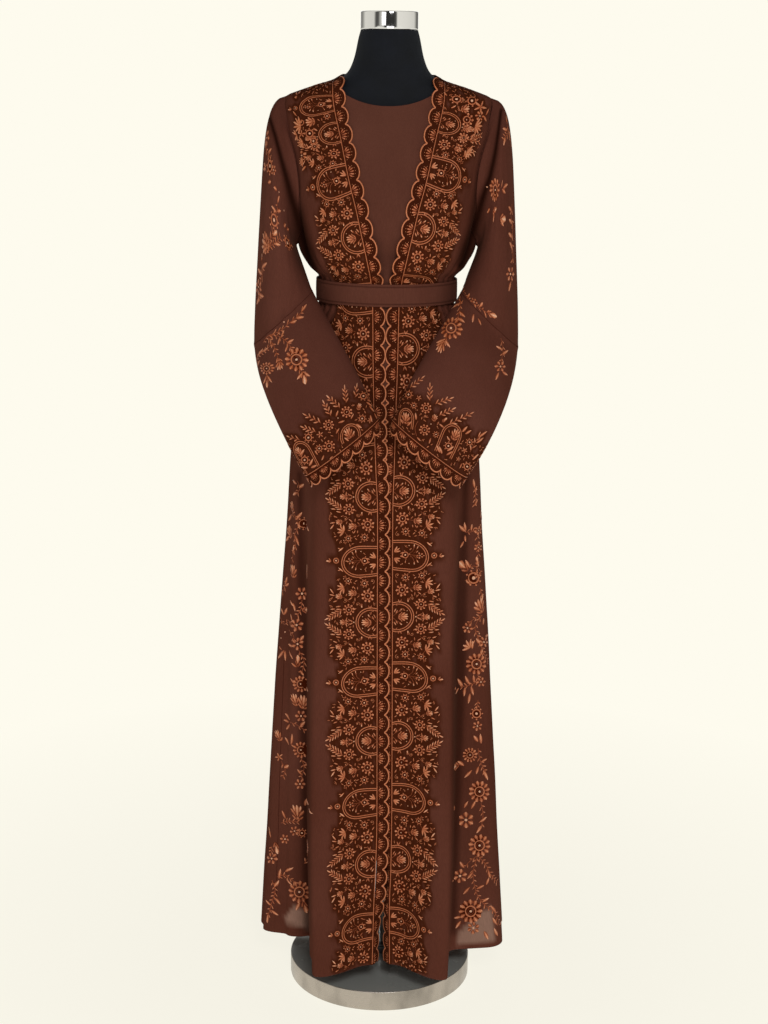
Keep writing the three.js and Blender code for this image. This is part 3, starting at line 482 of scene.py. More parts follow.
def turned(name, profile, sides, material):
    """A lathe-turned solid from a closed profile of (radius, z)."""
    turns = 2 * np.pi * np.arange(sides) / sides
    profile = np.array(profile, float)
    ring = np.stack([profile[:, 0][:, None] * np.cos(turns), profile[:, 0][:, None] * np.sin(turns),
                     profile[:, 1][:, None] + 0 * turns], -1)
    body = ring[1:-1].reshape(-1, 3)
    count = len(profile) - 2
    low, high = np.array([[0, 0, profile[0, 1]]]), np.array([[0, 0, profile[-1, 1]]])
    points = np.concatenate([body, low, high])
    i, j = np.meshgrid(np.arange(count - 1), np.arange(sides), indexing="ij")
    k = (j + 1) % sides
    quads = np.stack([i * sides + j, i * sides + k, (i + 1) * sides + k, (i + 1) * sides + j],
        -1).reshape(-1, 4)
    j = np.arange(sides)
    k = (j + 1) % sides
    a, b = count * sides, count * sides + 1
    top = (count - 1) * sides
    tris = np.concatenate([
        quads[:, [0, 1, 2]], quads[:, [0, 2, 3]],
        np.stack([k, j, 0 * j + a], -1), np.stack([top + j, top + k, 0 * j + b], -1)])
    reach = np.concatenate([[0], np.cumsum(np.linalg.norm(np.diff(profile, axis=0), axis=1))])
    uv = np.stack([np.broadcast_to(turns * profile[:, 0].max(), (count, sides)),
                   np.broadcast_to(reach[1:-1, None], (count, sides))], -1).reshape(-1, 2)
    uv = np.concatenate([uv, [[0, 0], [0, reach[-1]]]])
    return make_mesh(name, points, flip_outward(points, tris), uv, None, material, sharp=35)


# ---------------------------------------------------------------- materials
class Nodes:
    """A material's node tree, with its principled shader."""

    def __init__(self, name, **inputs):
        self.material = bpy.data.materials.new(name)
        self.material.use_nodes = True
        self.tree = self.material.node_tree
        self.shader = self.tree.nodes["Principled BSDF"]
        for key, value in inputs.items():
            self.shader.inputs[key.replace("_", " ")].default_value = value

    def add(self, kind, values=None, **settings):
        node = self.tree.nodes.new("ShaderNode" + kind)
        for key, value in settings.items():
            setattr(node, key, value)
        for key, value in (values or {}).items():
            socket = node.inputs[key]
            if isinstance(value, bpy.types.NodeSocket):
                self.tree.links.new(value, socket)
            else:
                socket.default_value = value
        return node

    def link(self, output, name):
        self.tree.links.new(output, self.shader.inputs[name])

    def threads(self, axis, period):
        """Even threads across the named axis of the thread map, with this period in metres."""
        wave = self.add("TexWave", {"Vector": self.add("UVMap", uv_map="threads").outputs[0],
                                    "Scale": 2 * math.pi / (20 * period)}, bands_direction=axis)
        return wave.outputs["Fac"]

    def noise(self, scale, detail=3.0, stretch=(1, 1, 1), roughness=0.55):
        place = self.add("TexCoord").outputs["Object"]
        mapped = self.add("Mapping", {"Vector": place, "Scale": stretch}).outputs[0]
        return self.add("TexNoise", {"Vector": mapped, "Scale": scale, "Detail": detail,
                                     "Roughness": roughness}).outputs["Fac"]

    def range(self, value, low, high, to_low, to_high):
        return self.add("MapRange", {0: value, 1: low, 2: high, 3: to_low, 4: to_high}).outputs[0]

    def math(self, operation, a, b):
        return self.add("Math", {0: a, 1: b}, operation=operation).outputs[0]

    def blend(self, share, a, b, kind="MIX"):
        node = self.add("Mix", {0: share, 6: a, 7: b}, data_type="RGBA", blend_type=kind)
        return node.outputs[2]

    def attribute(self, name):
        return self.add("Attribute", attribute_name=name).outputs["Fac"]

    def bump(self, height, strength, distance):
        self.link(self.add("Bump",
            {"Height": height, "Strength": strength, "Distance": distance}).outputs[0], "Normal")


def srgb(r, g, b):
    linear = [((c / 255 + 0.055) / 1.055) ** 2.4 if c > 10 else c / 255 / 12.92 for c in (r, g, b)]
    return (*linear, 1)


def cloth_material(name, colour, light, shade_and_stitching=None, roughness=0.6, sheen=0.05):
    """Fine smooth crepe: a tight weave, slow tone changes and a soft sheen."""
    n = Nodes(name, Roughness=roughness, Sheen_Weight=sheen, Sheen_Roughness=0.45, Specular_IOR_Level=0.0)
    n.shader.inputs["Sheen Tint"].default_value = srgb(205, 150, 125)
    slow = n.noise(7, 4, (1, 1, 0.45))
    tone = n.blend(n.range(slow, 0.35, 0.7, 0, 1), colour, light)
    if shade_and_stitching:
        # painted shade close to dense stitches; on the belt, its darker stitch lines
        tone = n.blend(n.attribute("shade_and_stitching"), tone, shade_and_stitching)
        # painted backlight at the outer hem corners, where the single layer shows the light through
        tone = n.blend(n.attribute("painted_backlight"), tone, srgb(146, 112, 98))
        # painted shade beside the sleeves, in the crease at each and behind the skirt's two long folds
        tone = n.blend(n.attribute("painted_shade"), tone, srgb(30, 11, 6))
    weave = n.math("MULTIPLY", n.threads("X", 0.00052), n.threads("Y", 0.00046))
    slub = n.noise(900, 2, (1, 1, 0.12))
    speck = n.range(n.math("ADD", n.math("MULTIPLY", weave, 0.5), slub), 0.4, 1.1, 0.84, 1.14)
    grey = n.add("CombineColor", {0: speck, 1: speck, 2: speck}).outputs[0]
    n.link(n.blend(1.0, tone, grey, "MULTIPLY"), "Base Color")
    n.bump(n.math("ADD", weave, n.math("MULTIPLY", slub, 0.5)), 0.16, 0.0004)
    return n.material


# the third colour is painted shade close to dense stitches; the belt's is its darker stitch lines
brown = cloth_material("brown_crepe", srgb(87, 47, 36), srgb(99, 57, 46), srgb(68, 30, 15))
sleeve_brown = cloth_material("brown_crepe_sleeve", srgb(87, 48, 38), srgb(99, 58, 48), srgb(68, 31, 17))
insert_brown = cloth_material("insert_crepe", srgb(87, 50, 40), srgb(101, 61, 50), roughness=0.55,
    sheen=0.14)
belt_brown = cloth_material("belt_crepe", srgb(88, 50, 40), srgb(101, 61, 50), srgb(38, 14, 8))
# the scalloped bands' cloth is darker all over: painted shade between their dense stitches
border_crepe_painted_shade = cloth_material("border_crepe_painted_shade", srgb(60, 24, 12), srgb(69, 31, 17), roughness=0.7)


def thread_material():
    """Copper satin thread: each shape has its own tone, with painted shade and highlights in it, and the
    threads lying across it.
    """
    n = Nodes("copper_thread", Roughness=0.42, Anisotropic=0.4)
    tone = n.attribute("tone")
    n.link(n.range(tone, 0.15, 0.5, 0, 0.25), "Specular IOR Level")
    ramp = n.add("ValToRGB", {0: tone})
    stops = ramp.color_ramp.elements
    stops[0].position, stops[0].color = 0.0, srgb(38, 11, 5)
    stops[1].position, stops[1].color = 1.0, srgb(246, 204, 174)
    for place, colour in ((0.25, srgb(86, 32, 13)), (0.5, srgb(156, 76, 40)), (0.72, srgb(210, 132, 90))):
        stop = stops.new(place)
        stop.color = colour
    threads = n.threads("X", 0.00048)
    flecks = n.noise(420, 2)
    shade = n.range(n.math("ADD", n.math("MULTIPLY", threads, 0.7), flecks), 0.35, 1.2, 0.72, 1.2)
    grey = n.add("CombineColor", {0: shade, 1: shade, 2: shade}).outputs[0]
    n.link(n.blend(1.0, ramp.outputs[0], grey, "MULTIPLY"), "Base Color")
    n.bump(threads, 0.35, 0.0004)
    return n.material


copper_thread = thread_material()


def form_cover_material():
    n = Nodes("form_cover", Roughness=0.8, Sheen_Weight=0.04, Sheen_Roughness=0.5, Specular_IOR_Level=0.2)
    n.shader.inputs["Sheen Tint"].default_value = srgb(110, 130, 165)
    weave = n.math("MULTIPLY", n.threads("X", 0.0011), n.threads("Y", 0.0011))
    tone = n.blend(n.range(n.noise(30, 4), 0.3, 0.7, 0, 1), srgb(7, 9, 14), srgb(13, 16, 24))
    n.link(n.blend(n.range(weave, 0, 1, 0, 0.25), tone, srgb(26, 31, 42)), "Base Color")
    n.bump(weave, 0.3, 0.0006)
    return n.material


def metal_material(name, colour, roughness, brushed=None, anisotropic=0.0):
    n = Nodes(name, Metallic=1.0, Anisotropic=anisotropic)
    n.shader.inputs["Base Color"].default_value = colour
    if brushed:
        grain = n.noise(*brushed)
        dull = (*(c * 0.62 for c in colour[:3]), 1)
        n.link(n.blend(n.range(n.noise(16, 5, (1, 1, 0.5)), 0.42, 0.66, 0, 1), colour, dull), "Base Color")
        n.link(n.range(grain, 0.3, 0.7, roughness * 0.7, roughness * 1.35), "Roughness")
        n.bump(grain, 0.08, 0.0002)
    else:
        smear = n.noise(14, 3)
        n.link(n.range(smear, 0.3, 0.7, roughness * 0.7, roughness * 1.4), "Roughness")
    return n.material


form_cover = form_cover_material()
chrome = metal_material("chrome", srgb(226, 226, 228), 0.06)
steel_side = metal_material("brushed_steel", srgb(184, 175, 166), 0.28, (260, 4, (0.06, 0.06, 6)), 0.5)
steel_top = metal_material("polished_steel", srgb(172, 174, 170), 0.22)
steel_top.node_tree.nodes["Principled BSDF"].inputs["Metallic"].default_value = 0.3
collar_black = Nodes("black_collar", Roughness=0.38)
collar_black.link(collar_black.blend(collar_black.noise(60, 3), srgb(16, 16, 18), srgb(34, 33, 36)),
    "Base Color")

# ---------------------------------------------------------------- the dress form
def rounded(radius, low, high, edge, steps=5):
    """A disc's profile with rounded edges."""
    arc = [(math.sin(a), 1 - math.cos(a)) for a in np.linspace(0, math.pi / 2, steps)]
    bottom = [(radius - edge + edge * s, low + edge * c) for s, c in arc]
    top = [(radius - edge + edge * s, high - edge * c) for s, c in arc][::-1]
    return [(0, low), *bottom, *top, (0, high)]


base = turned("base_disc", rounded(BASE["radius"], 0, BASE["height"], 1.5), 160, steel_side)
base.data.materials.append(steel_top)
for polygon in base.data.polygons:
    if polygon.normal.z > 0.9 and polygon.center.z > 0.034:
        polygon.material_index = 1
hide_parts("form_base")
collar_low = BASE["height"] + PART_GAP
collar = turned("base_collar", rounded(COLLAR["radius"], collar_low, collar_low + COLLAR["height"], 2), 64,
    collar_black.material)
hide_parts("form_collar")
pole = turned("pole", rounded(POLE["radius"], collar_low + COLLAR["height"] + PART_GAP, POLE["top"], 0.5,
    3), 48, chrome)
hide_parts("form_pole")
cap = turned("neck_cap", rounded(NECK_CAP["radius"], NECK_CAP["bottom"], NECK_CAP["top"], 2.2), 128, chrome)
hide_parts("form_neck_cap")


def build_torso():
    sides, levels = 120, np.concatenate([np.linspace(1651, 1500, 62), np.linspace(1495, 885, 90)])
    turns = 2 * np.pi * np.arange(sides) / sides
    degrees = np.degrees(turns)
    z = levels[:, None] + 0 * degrees
    right = ring_point(FORM, 1, np.minimum(degrees, 360 - degrees) + 0 * z, z)
    right[..., 0] *= np.where(degrees > 180, -1, 1)
    rows = len(levels)
    # thin seams of the stretched cover: down the sides and the middle of the front and back
    seam = np.minimum.reduce([np.abs((degrees - at + 180) % 360 - 180) for at in (0, 90, 180, 270)])
    dent = 0.35 * np.exp(-((seam / 1.6) ** 2))
    right[..., :2] -= unit(right[..., :2]) * dent[None, :, None]
    points = np.concatenate([right.reshape(-1, 3), [[0, 0, levels[0]], [0, 0, levels[-1]]]])
    i, j = np.meshgrid(np.arange(rows - 1), np.arange(sides), indexing="ij")
    k = (j + 1) % sides
    quads = np.stack([i * sides + j, (i + 1) * sides + j, (i + 1) * sides + k, i * sides + k],
        -1).reshape(-1, 4)
    j = np.arange(sides)
    k = (j + 1) % sides
    end = (rows - 1) * sides
    tris = np.concatenate([quads[:, [0, 1, 2]], quads[:, [0, 2, 3]],
                           np.stack([j, k, 0 * j + rows * sides], -1),
                           np.stack([end + k, end + j, 0 * j + rows * sides + 1], -1)])
    uv = np.stack([turns * 110 + 0 * z, z], -1).reshape(-1, 2)
    uv = np.concatenate([uv, [[0, 1651], [0, 885]]])
    torso = make_mesh("form_torso_cover", points, flip_outward(points, tris), uv, None, form_cover,
        sharp=40)
    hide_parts("form_torso")
    return torso


build_torso()

# ---------------------------------------------------------------- the camera's frame
IMAGE_WIDE, IMAGE_TALL, FOCAL, IMAGE_SHIFT = 768, 1024, 1875.0, 0.2
CAMERA_AT, CAMERA_PITCH, CAMERA_ROLL = (0.0, -3.11, 1.628), math.radians(14), math.radians(0.62)


def to_image(points):
    """Where the camera sees points in millimetres, in pixels of the frame."""
    x, y, z = np.moveaxis(points * MM - CAMERA_AT, -1, 0)
    depth = y * math.cos(CAMERA_PITCH) - z * math.sin(CAMERA_PITCH)
    up = y * math.sin(CAMERA_PITCH) + z * math.cos(CAMERA_PITCH)
    across, down = x / depth * FOCAL, -up / depth * FOCAL
    c, s = math.cos(CAMERA_ROLL), math.sin(CAMERA_ROLL)
    return np.stack([IMAGE_WIDE / 2 + across * c - down * s + IMAGE_SHIFT,
        IMAGE_TALL / 2 + across * s + down * c], -1)


# outer hem corners where the single layer shows the light through, painted lighter as backlight, by the
# pixels that bound them
SHEER_CORNERS = {
    -1: ((284, 917), (294, 905), (309, 911), (309, 930), (286, 924)),
    1: ((480, 911), (492, 907), (496, 941), (456, 946), (457, 933)),
}
# where shade is painted into the cloth: beside the sleeves, and behind the skirt's two long folds
PAINTED_SHADE_AREAS = {
    -1: (((287, 165), (294, 175), (304, 215), (318, 279), (298, 279), (278, 215)),
    ((292, 470), (303, 470), (309, 640), (311, 935), (296, 930), (296, 640))),
    1: (((482, 160), (494, 175), (496, 215), (476, 279), (454, 279), (468, 215)),
    ((462, 470), (474, 470), (468, 640), (464, 935), (449, 935), (452, 640))),
}


# the crease between a sleeve and the body, by the pixels it shows at, and its half width there; the sleeve
# is pressed in along it and shade is painted into it
ARMPIT_CREASE = {
    -1: ((269, 116, 2.0), (275, 135, 2.4), (281, 158, 3.0), (287, 180, 4.0), (292, 200, 5.5),
    (297, 215, 7.5),
         (302, 235, 8.5), (308, 255, 8), (312, 270, 6)),
    1: ((501, 110, 1.8), (498, 134, 2.2), (495, 154, 2.8), (490, 177, 3.4), (484, 194, 4), (479, 210, 5.5),
        (473, 230, 6.5), (466, 250, 6.5), (461, 265, 5)),
}


def crease_share(side, points):
    """How far points lie in the crease beside a sleeve, from 0 to 1."""
    spots = to_image(points)
    line = np.array(ARMPIT_CREASE[side], float)
    share = np.zeros(spots.shape[:-1])
    for a, b in zip(line[:-1], line[1:]):
        run = b[:2] - a[:2]
        k = np.clip(((spots - a[:2]) @ run) / (run @ run), 0, 1)
        away = np.linalg.norm(spots - a[:2] - k[..., None] * run, axis=-1)
        share = np.maximum(share, np.exp(-((away / mix(a[2], b[2], k)) ** 2)))
    return share * smooth(10, -25, points[..., 1])


def inside_share(points, corners, soft=3.0):
    """How far points lie inside an outline drawn in the picture, from 0 to 1."""
    spots = to_image(points)
    corners = np.array(corners, float)
    turn = np.sign(np.cross(corners[1] - corners[0], corners[2] - corners[1]))
    inside = np.full(spots.shape[:-1], np.inf)
    for a, b in zip(corners, np.roll(corners, -1, 0)):
        edge = unit(b - a)
        off = spots - a
        inside = np.minimum(inside, turn * (edge[0] * off[..., 1] - edge[1] * off[..., 0]))
    return smooth(-soft / 2, soft, inside) * (points[..., 1] < 60)


# ---------------------------------------------------------------- the cloth pieces
def lengths(points, axis):
    """Running length along an axis of a grid, from 0."""
    steps = np.linalg.norm(np.diff(points, axis=axis), axis=-1)
    pad = [(0, 0)] * steps.ndim
    pad[axis] = (1, 0)
    return np.pad(np.cumsum(steps, axis=axis), pad)


class Chart:
    """A patch of surface with its own flat millimetres: s across each row and v from row to row."""

    def __init__(self, points, normals, s, v, step=2.0):
        self.v = v
        self.low, self.step = float(s.min()), step
        count = int((s.max() - s.min()) / step) + 2
        grid = self.low + step * np.arange(count)
        places = np.arange(s.shape[1], dtype=float)
        self.points = np.empty((len(v), count, 3))
        self.normals = np.empty((len(v), count, 3))
        for i in range(len(v)):
            at = np.interp(grid, s[i], places)
            j = np.minimum(at.astype(int), s.shape[1] - 2)
            t = (at - j)[:, None]
            beyond = np.where(grid > s[i, -1], grid - s[i, -1],
                np.where(grid < s[i, 0], grid - s[i, 0], 0))[:, None]
            run = np.where(beyond > 0, unit(points[i, -1] - points[i, -3]),
                unit(points[i, 2] - points[i, 0]))
            self.points[i] = mix(points[i, j], points[i, j + 1], t) + run * beyond
            self.normals[i] = unit(mix(normals[i, j], normals[i, j + 1], t))

    def at(self, s, v):
        i = np.clip(np.searchsorted(self.v, v) - 1, 0, len(self.v) - 2)
        t = np.clip((v - self.v[i]) / (self.v[i + 1] - self.v[i]), 0, 1)[..., None]
        k = np.clip((s - self.low) / self.step, 0, self.points.shape[1] - 1.001)
        j = k.astype(int)
        u = (k - j)[..., None]
        pick = lambda g: mix(mix(g[i, j], g[i, j + 1], u), mix(g[i + 1, j], g[i + 1, j + 1], u), t)
        return pick(self.points), unit(pick(self.normals))


def levels(*spans):
    return np.concatenate([np.arange(a, b, -step) for a, b, step in spans])


armhole_levels = (ARMHOLE["top"] + ARMHOLE["bottom"]) / 2 + (ARMHOLE["top"]
    - ARMHOLE["bottom"]) / 2 * np.cos(
    np.linspace(0, np.pi, 49))
below = np.concatenate([levels((1302, 1150, 3.4), (1150, 80, 8.6)), [CLOTH["hem"]]])
FRONT_Z = np.concatenate([levels((CLOTH["shoulder"], 1547, 4)), armhole_levels, below])
BACK_Z = np.concatenate([levels((CLOTH["back_neck"], 1547, 3.5)), armhole_levels, below])


def front_grid(side, columns=84):
    z = FRONT_Z[:, None]
    ridge = np.maximum(RIDGE(z), edge_angle(side, z))
    cut = armhole_cut(z) / (90 - ridge) * (1 - RIDGE_LINE)
    end = 1 - cut - CLOTH["seam"] / (np.pi / 2 * OUTER["side"](z))
    share = np.linspace(0, 1, columns)[None, :]
    girth = share * (1 - (1 - end) * smooth(0.3, 1, share))
    return girth, z + 0 * girth


def vertical_lengths(z, angle=40):
    """Length down the cloth along a line at one section angle."""
    line = ring_point(OUTER, 1, angle + 0 * z, z)
    return np.concatenate([[0], np.cumsum(np.linalg.norm(np.diff(line, axis=0), axis=1))])


class Front:
    """One front panel: its shell, its chart and the running length of its edge line."""

    def __init__(self, side):
        self.side = side
        girth, z = front_grid(side)
        points = cloth_point(side, girth, z)
        normals = grid_normals(points) * (1 if side > 0 else -1)
        if (normals[100, 10] * (0, -1, 0)).sum() < 0:
            normals = -normals
        across = lengths(points, 1)
        s = EDGE[side_name(side)](z[:, :1]) + across
        v = vertical_lengths(z[:, 0])
        self.s, self.v, self.z = s, v, z[:, 0]
        self.chart = Chart(points, normals, s, v)
        self.edge_t = np.concatenate([[0],
            np.cumsum(np.linalg.norm(np.diff(points[:, 0], axis=0), axis=1))])
        line = np.stack([s[:, 0], v], -1)
        t = np.arange(0, self.edge_t[-1], 4.0)
        path = np.stack([np.interp(t, self.edge_t, line[:, k]) for k in (0, 1)], -1)
        run = unit(np.gradient(path, axis=0))
        kernel = np.hanning(21)
        kernel /= kernel.sum()
        padded = np.pad(run, ((10, 10), (0, 0)), mode="edge")
        run = unit(np.stack([np.convolve(padded[:, k], kernel, "valid") for k in (0, 1)], -1))
        self.path_t, self.path, self.out = t, path, np.stack([run[:, 1], -run[:, 0]], -1)
        # the band in which shade is painted close to the stitches
        self.shade_and_stitching = smooth(96, 74, across + 6 * crease_noise(3 + across / 30, z / 17))
        self.points, self.normals = points, normals

    def place(self, d, t):
        """Chart coordinates of a point d outward from the edge line at the length t along it."""
        base = np.stack([np.interp(t, self.path_t, self.path[:, k]) for k in (0, 1)], -1)
        out = unit(np.stack([np.interp(t, self.path_t, self.out[:, k]) for k in (0, 1)], -1))
        beyond = np.maximum(t - self.path_t[-1], 0)
        found = base + out * np.asarray(d)[..., None]
        return found[..., 0], found[..., 1] + beyond

    def surface(self, d, t):
        return self.chart.at(*self.place(d, t))

    def holds(self, s, v, margin=6):
        """Whether chart places all lie on the panel."""
        row = np.clip(np.searchsorted(self.v, v) - 1, 0, len(self.v) - 2)
        edge = np.minimum(self.s[row, -1], self.s[row + 1, -1])
        return v.min() > margin and (s < edge - margin).all()

    def build(self):
        name = f"front_{side_name(self.side)}"
        uv = np.stack([self.s, self.v[:, None] + 0 * self.s], -1)
        # masks of the painted shade beside the sleeves, in their creases and behind the skirt's folds
        armpit, fold = (inside_share(self.points, corners, 5) for corners in PAINTED_SHADE_AREAS[self.side])
        # painted backlight at the outer hem corners
        attributes = {"shade_and_stitching": self.shade_and_stitching, "painted_backlight": inside_share(self.points, SHEER_CORNERS[self.side]),
                      "painted_shade": np.maximum.reduce([0.55 * armpit, 0.6 * fold,
                      0.95 * crease_share(self.side, self.points)])}
        piece = cloth_shell(name, self.points, self.normals, CLOTH["wall"], uv, brown,
            attributes=attributes)
        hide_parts(f"abaya_front_{side_name(self.side)}")
        self.piece = piece
        return piece


def build_back():
    z = BACK_Z[:, None]
    start = 1 + armhole_cut(z) / 90 + CLOTH["seam"] / (np.pi / 2 * OUTER["side"](z))
    at = np.linspace(1, 2, 66)[None, :]
    girth = at + (start - 1) * smooth(1.6, 1, at)
    z = z + 0 * girth
    right, left = cloth_point(-1, girth, z), cloth_point(1, girth, z)
    blend = smooth(1.9, 2, girth)[..., None] * 0.5
    mirrored = left * (-1, 1, 1)
    right_mixed = mix(right, mirrored, blend)
    left_mixed = mix(left, right * (-1, 1, 1), blend)
    points = np.concatenate([right_mixed, left_mixed[:, ::-1][:, 1:]], 1)
    normals = grid_normals(points)
    if normals[100, 65, 1] < 0:
        normals = -normals
    s = lengths(points, 1)
    uv = np.stack([s - s[:, 65:66], vertical_lengths(BACK_Z, 140)[:, None] + 0 * s], -1)
    piece = cloth_shell("back", points, normals, CLOTH["wall"], uv, brown, attributes={"shade_and_stitching": 0 * s})
    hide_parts("abaya_back")
    return piece, s[:, -1].max()


def scallop_width(t):
    share = (t / SCALLOP["pitch"]) % 1
    return SCALLOP["notch"] + SCALLOP["depth"] * np.sqrt(np.clip(1 - (2 * share - 1) ** 2, 0, 1))


class Border:
    """The scalloped band that carries on from a front's edge towards the middle."""

    def __init__(self, front):
        self.side = side = front.side
        self.front = front
        last = front.edge_t[-1]
        t = np.unique(np.concatenate([np.arange(0, last, SCALLOP["pitch"] / 20), [last]]))
        z = np.interp(t, front.edge_t, front.z)
        edge = cloth_point(side, 0 * z, z)
        start = onto_cloth(edge)
        lift = edge - start
        angle = edge_angle(side, z)
        along = ring_point(OUTER, side, angle + 0.3, z) - ring_point(OUTER, side, angle - 0.3, z)
        down = ring_point(OUTER, side, angle, z + 0.5) - ring_point(OUTER, side, angle, z - 0.5)
        slope = unit(np.cross(along, down)) * side
        run = unit(np.gradient(edge, axis=0))
        across = unit(np.cross(run, slope)) * side
        curl_from = CURL[side_name(side)]
        curl = np.radians(CURL["turn"]) * smooth(curl_from, curl_from - CURL["over"], z)
        w = np.linspace(0.3, 24, 18)
        point = start[:, None] + across[:, None] * (w * np.cos(curl)[:, None])[..., None]
        point = onto_cloth(point) + lift[:, None]
        sink = -w * np.sin(curl)[:, None] + 0.3 * smooth(1300, 1400, z)[:, None]
        wave = 0.5 * np.sin(2 * np.pi * t / SCALLOP["pitch"] * 0.5 + 1) * smooth(1250, 1100, z)
        sink = sink + wave[:, None] * w / 24 * smooth(1200, 1000, z)[:, None]
        point = point + slope[:, None] * sink[..., None]
        point[..., 1] = np.minimum(point[..., 1], -0.4)
        normals = grid_normals(point)
        facing = (normals * slope[:, None]).sum(-1, keepdims=True)
        normals = normals * np.where(facing < 0, -1, 1)
        self.chart = Chart(point, normals, w + 0 * t[:, None], t, 1.4)
        self.t = t

    def surface(self, w, t):
        return self.chart.at(w, t)

    def build(self):
        share = np.linspace(0, 1, 9)[None, :]
        t = self.t[:, None] + 0 * share
        width = scallop_width(t)
        w = 0.3 + (width - 0.3) * share
        points, normals = self.chart.at(w, t)
        name = f"border_{side_name(self.side)}"
        piece = cloth_shell(name, points, normals, CLOTH["wall"], np.stack([w, t], -1), border_crepe_painted_shade)
        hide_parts(f"abaya_border_{side_name(self.side)}")
        self.piece = piece
        return piece


def build_insert():
    rows, columns = 110, 56
    i, j = np.meshgrid(np.arange(rows + 1) / rows, np.arange(columns + 1) / columns, indexing="ij")
    spread = 2 * j - 1
    neck = INSERT["drop"] + (INSERT["side"] - INSERT["drop"]) * np.abs(spread) ** 2.2
    z = neck + (INSERT["bottom"] - neck) * i**1.3
    half = np.minimum(INSERT["half"], EDGE["left"](z) + INSERT["behind"])
    grow = INSERT["clear"] + CLOTH["wall"]
    widest = np.degrees(np.arcsin(half / (FORM["side"](z) + grow)))
    angle = np.abs(widest * spread)
    hanging = smooth(1205, 1130, z)[..., None]
    points = mix(ring_point(FORM, 1, angle, z, grow), ring_point(OUTER, 1, angle, z, -INSERT["under"]),
        hanging)
    points[..., 0] *= np.sign(spread) + (spread == 0)
    # a slack fold down the middle and slow waves, inside the space under the fronts
    x = points[..., 0]
    fold = 0.9 * np.exp(-(((x + 4 + (z - 1400) * 0.03) / 7) ** 2)) * smooth(1430, 1330, z)
    waves = 0.35 * crease_noise(x / 26 + 5, z / 70)
    points[..., 1] -= np.clip(fold + waves, -0.6, 1.1) * smooth(1200, 1240, z)
    normals = grid_normals(points)
    if normals[40, 30, 1] > 0:
        normals = -normals
    uv = np.stack([x, z], -1)
    piece = cloth_shell("insert", points, normals, CLOTH["wall"], uv, insert_brown)
    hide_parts("abaya_insert")
    return piece


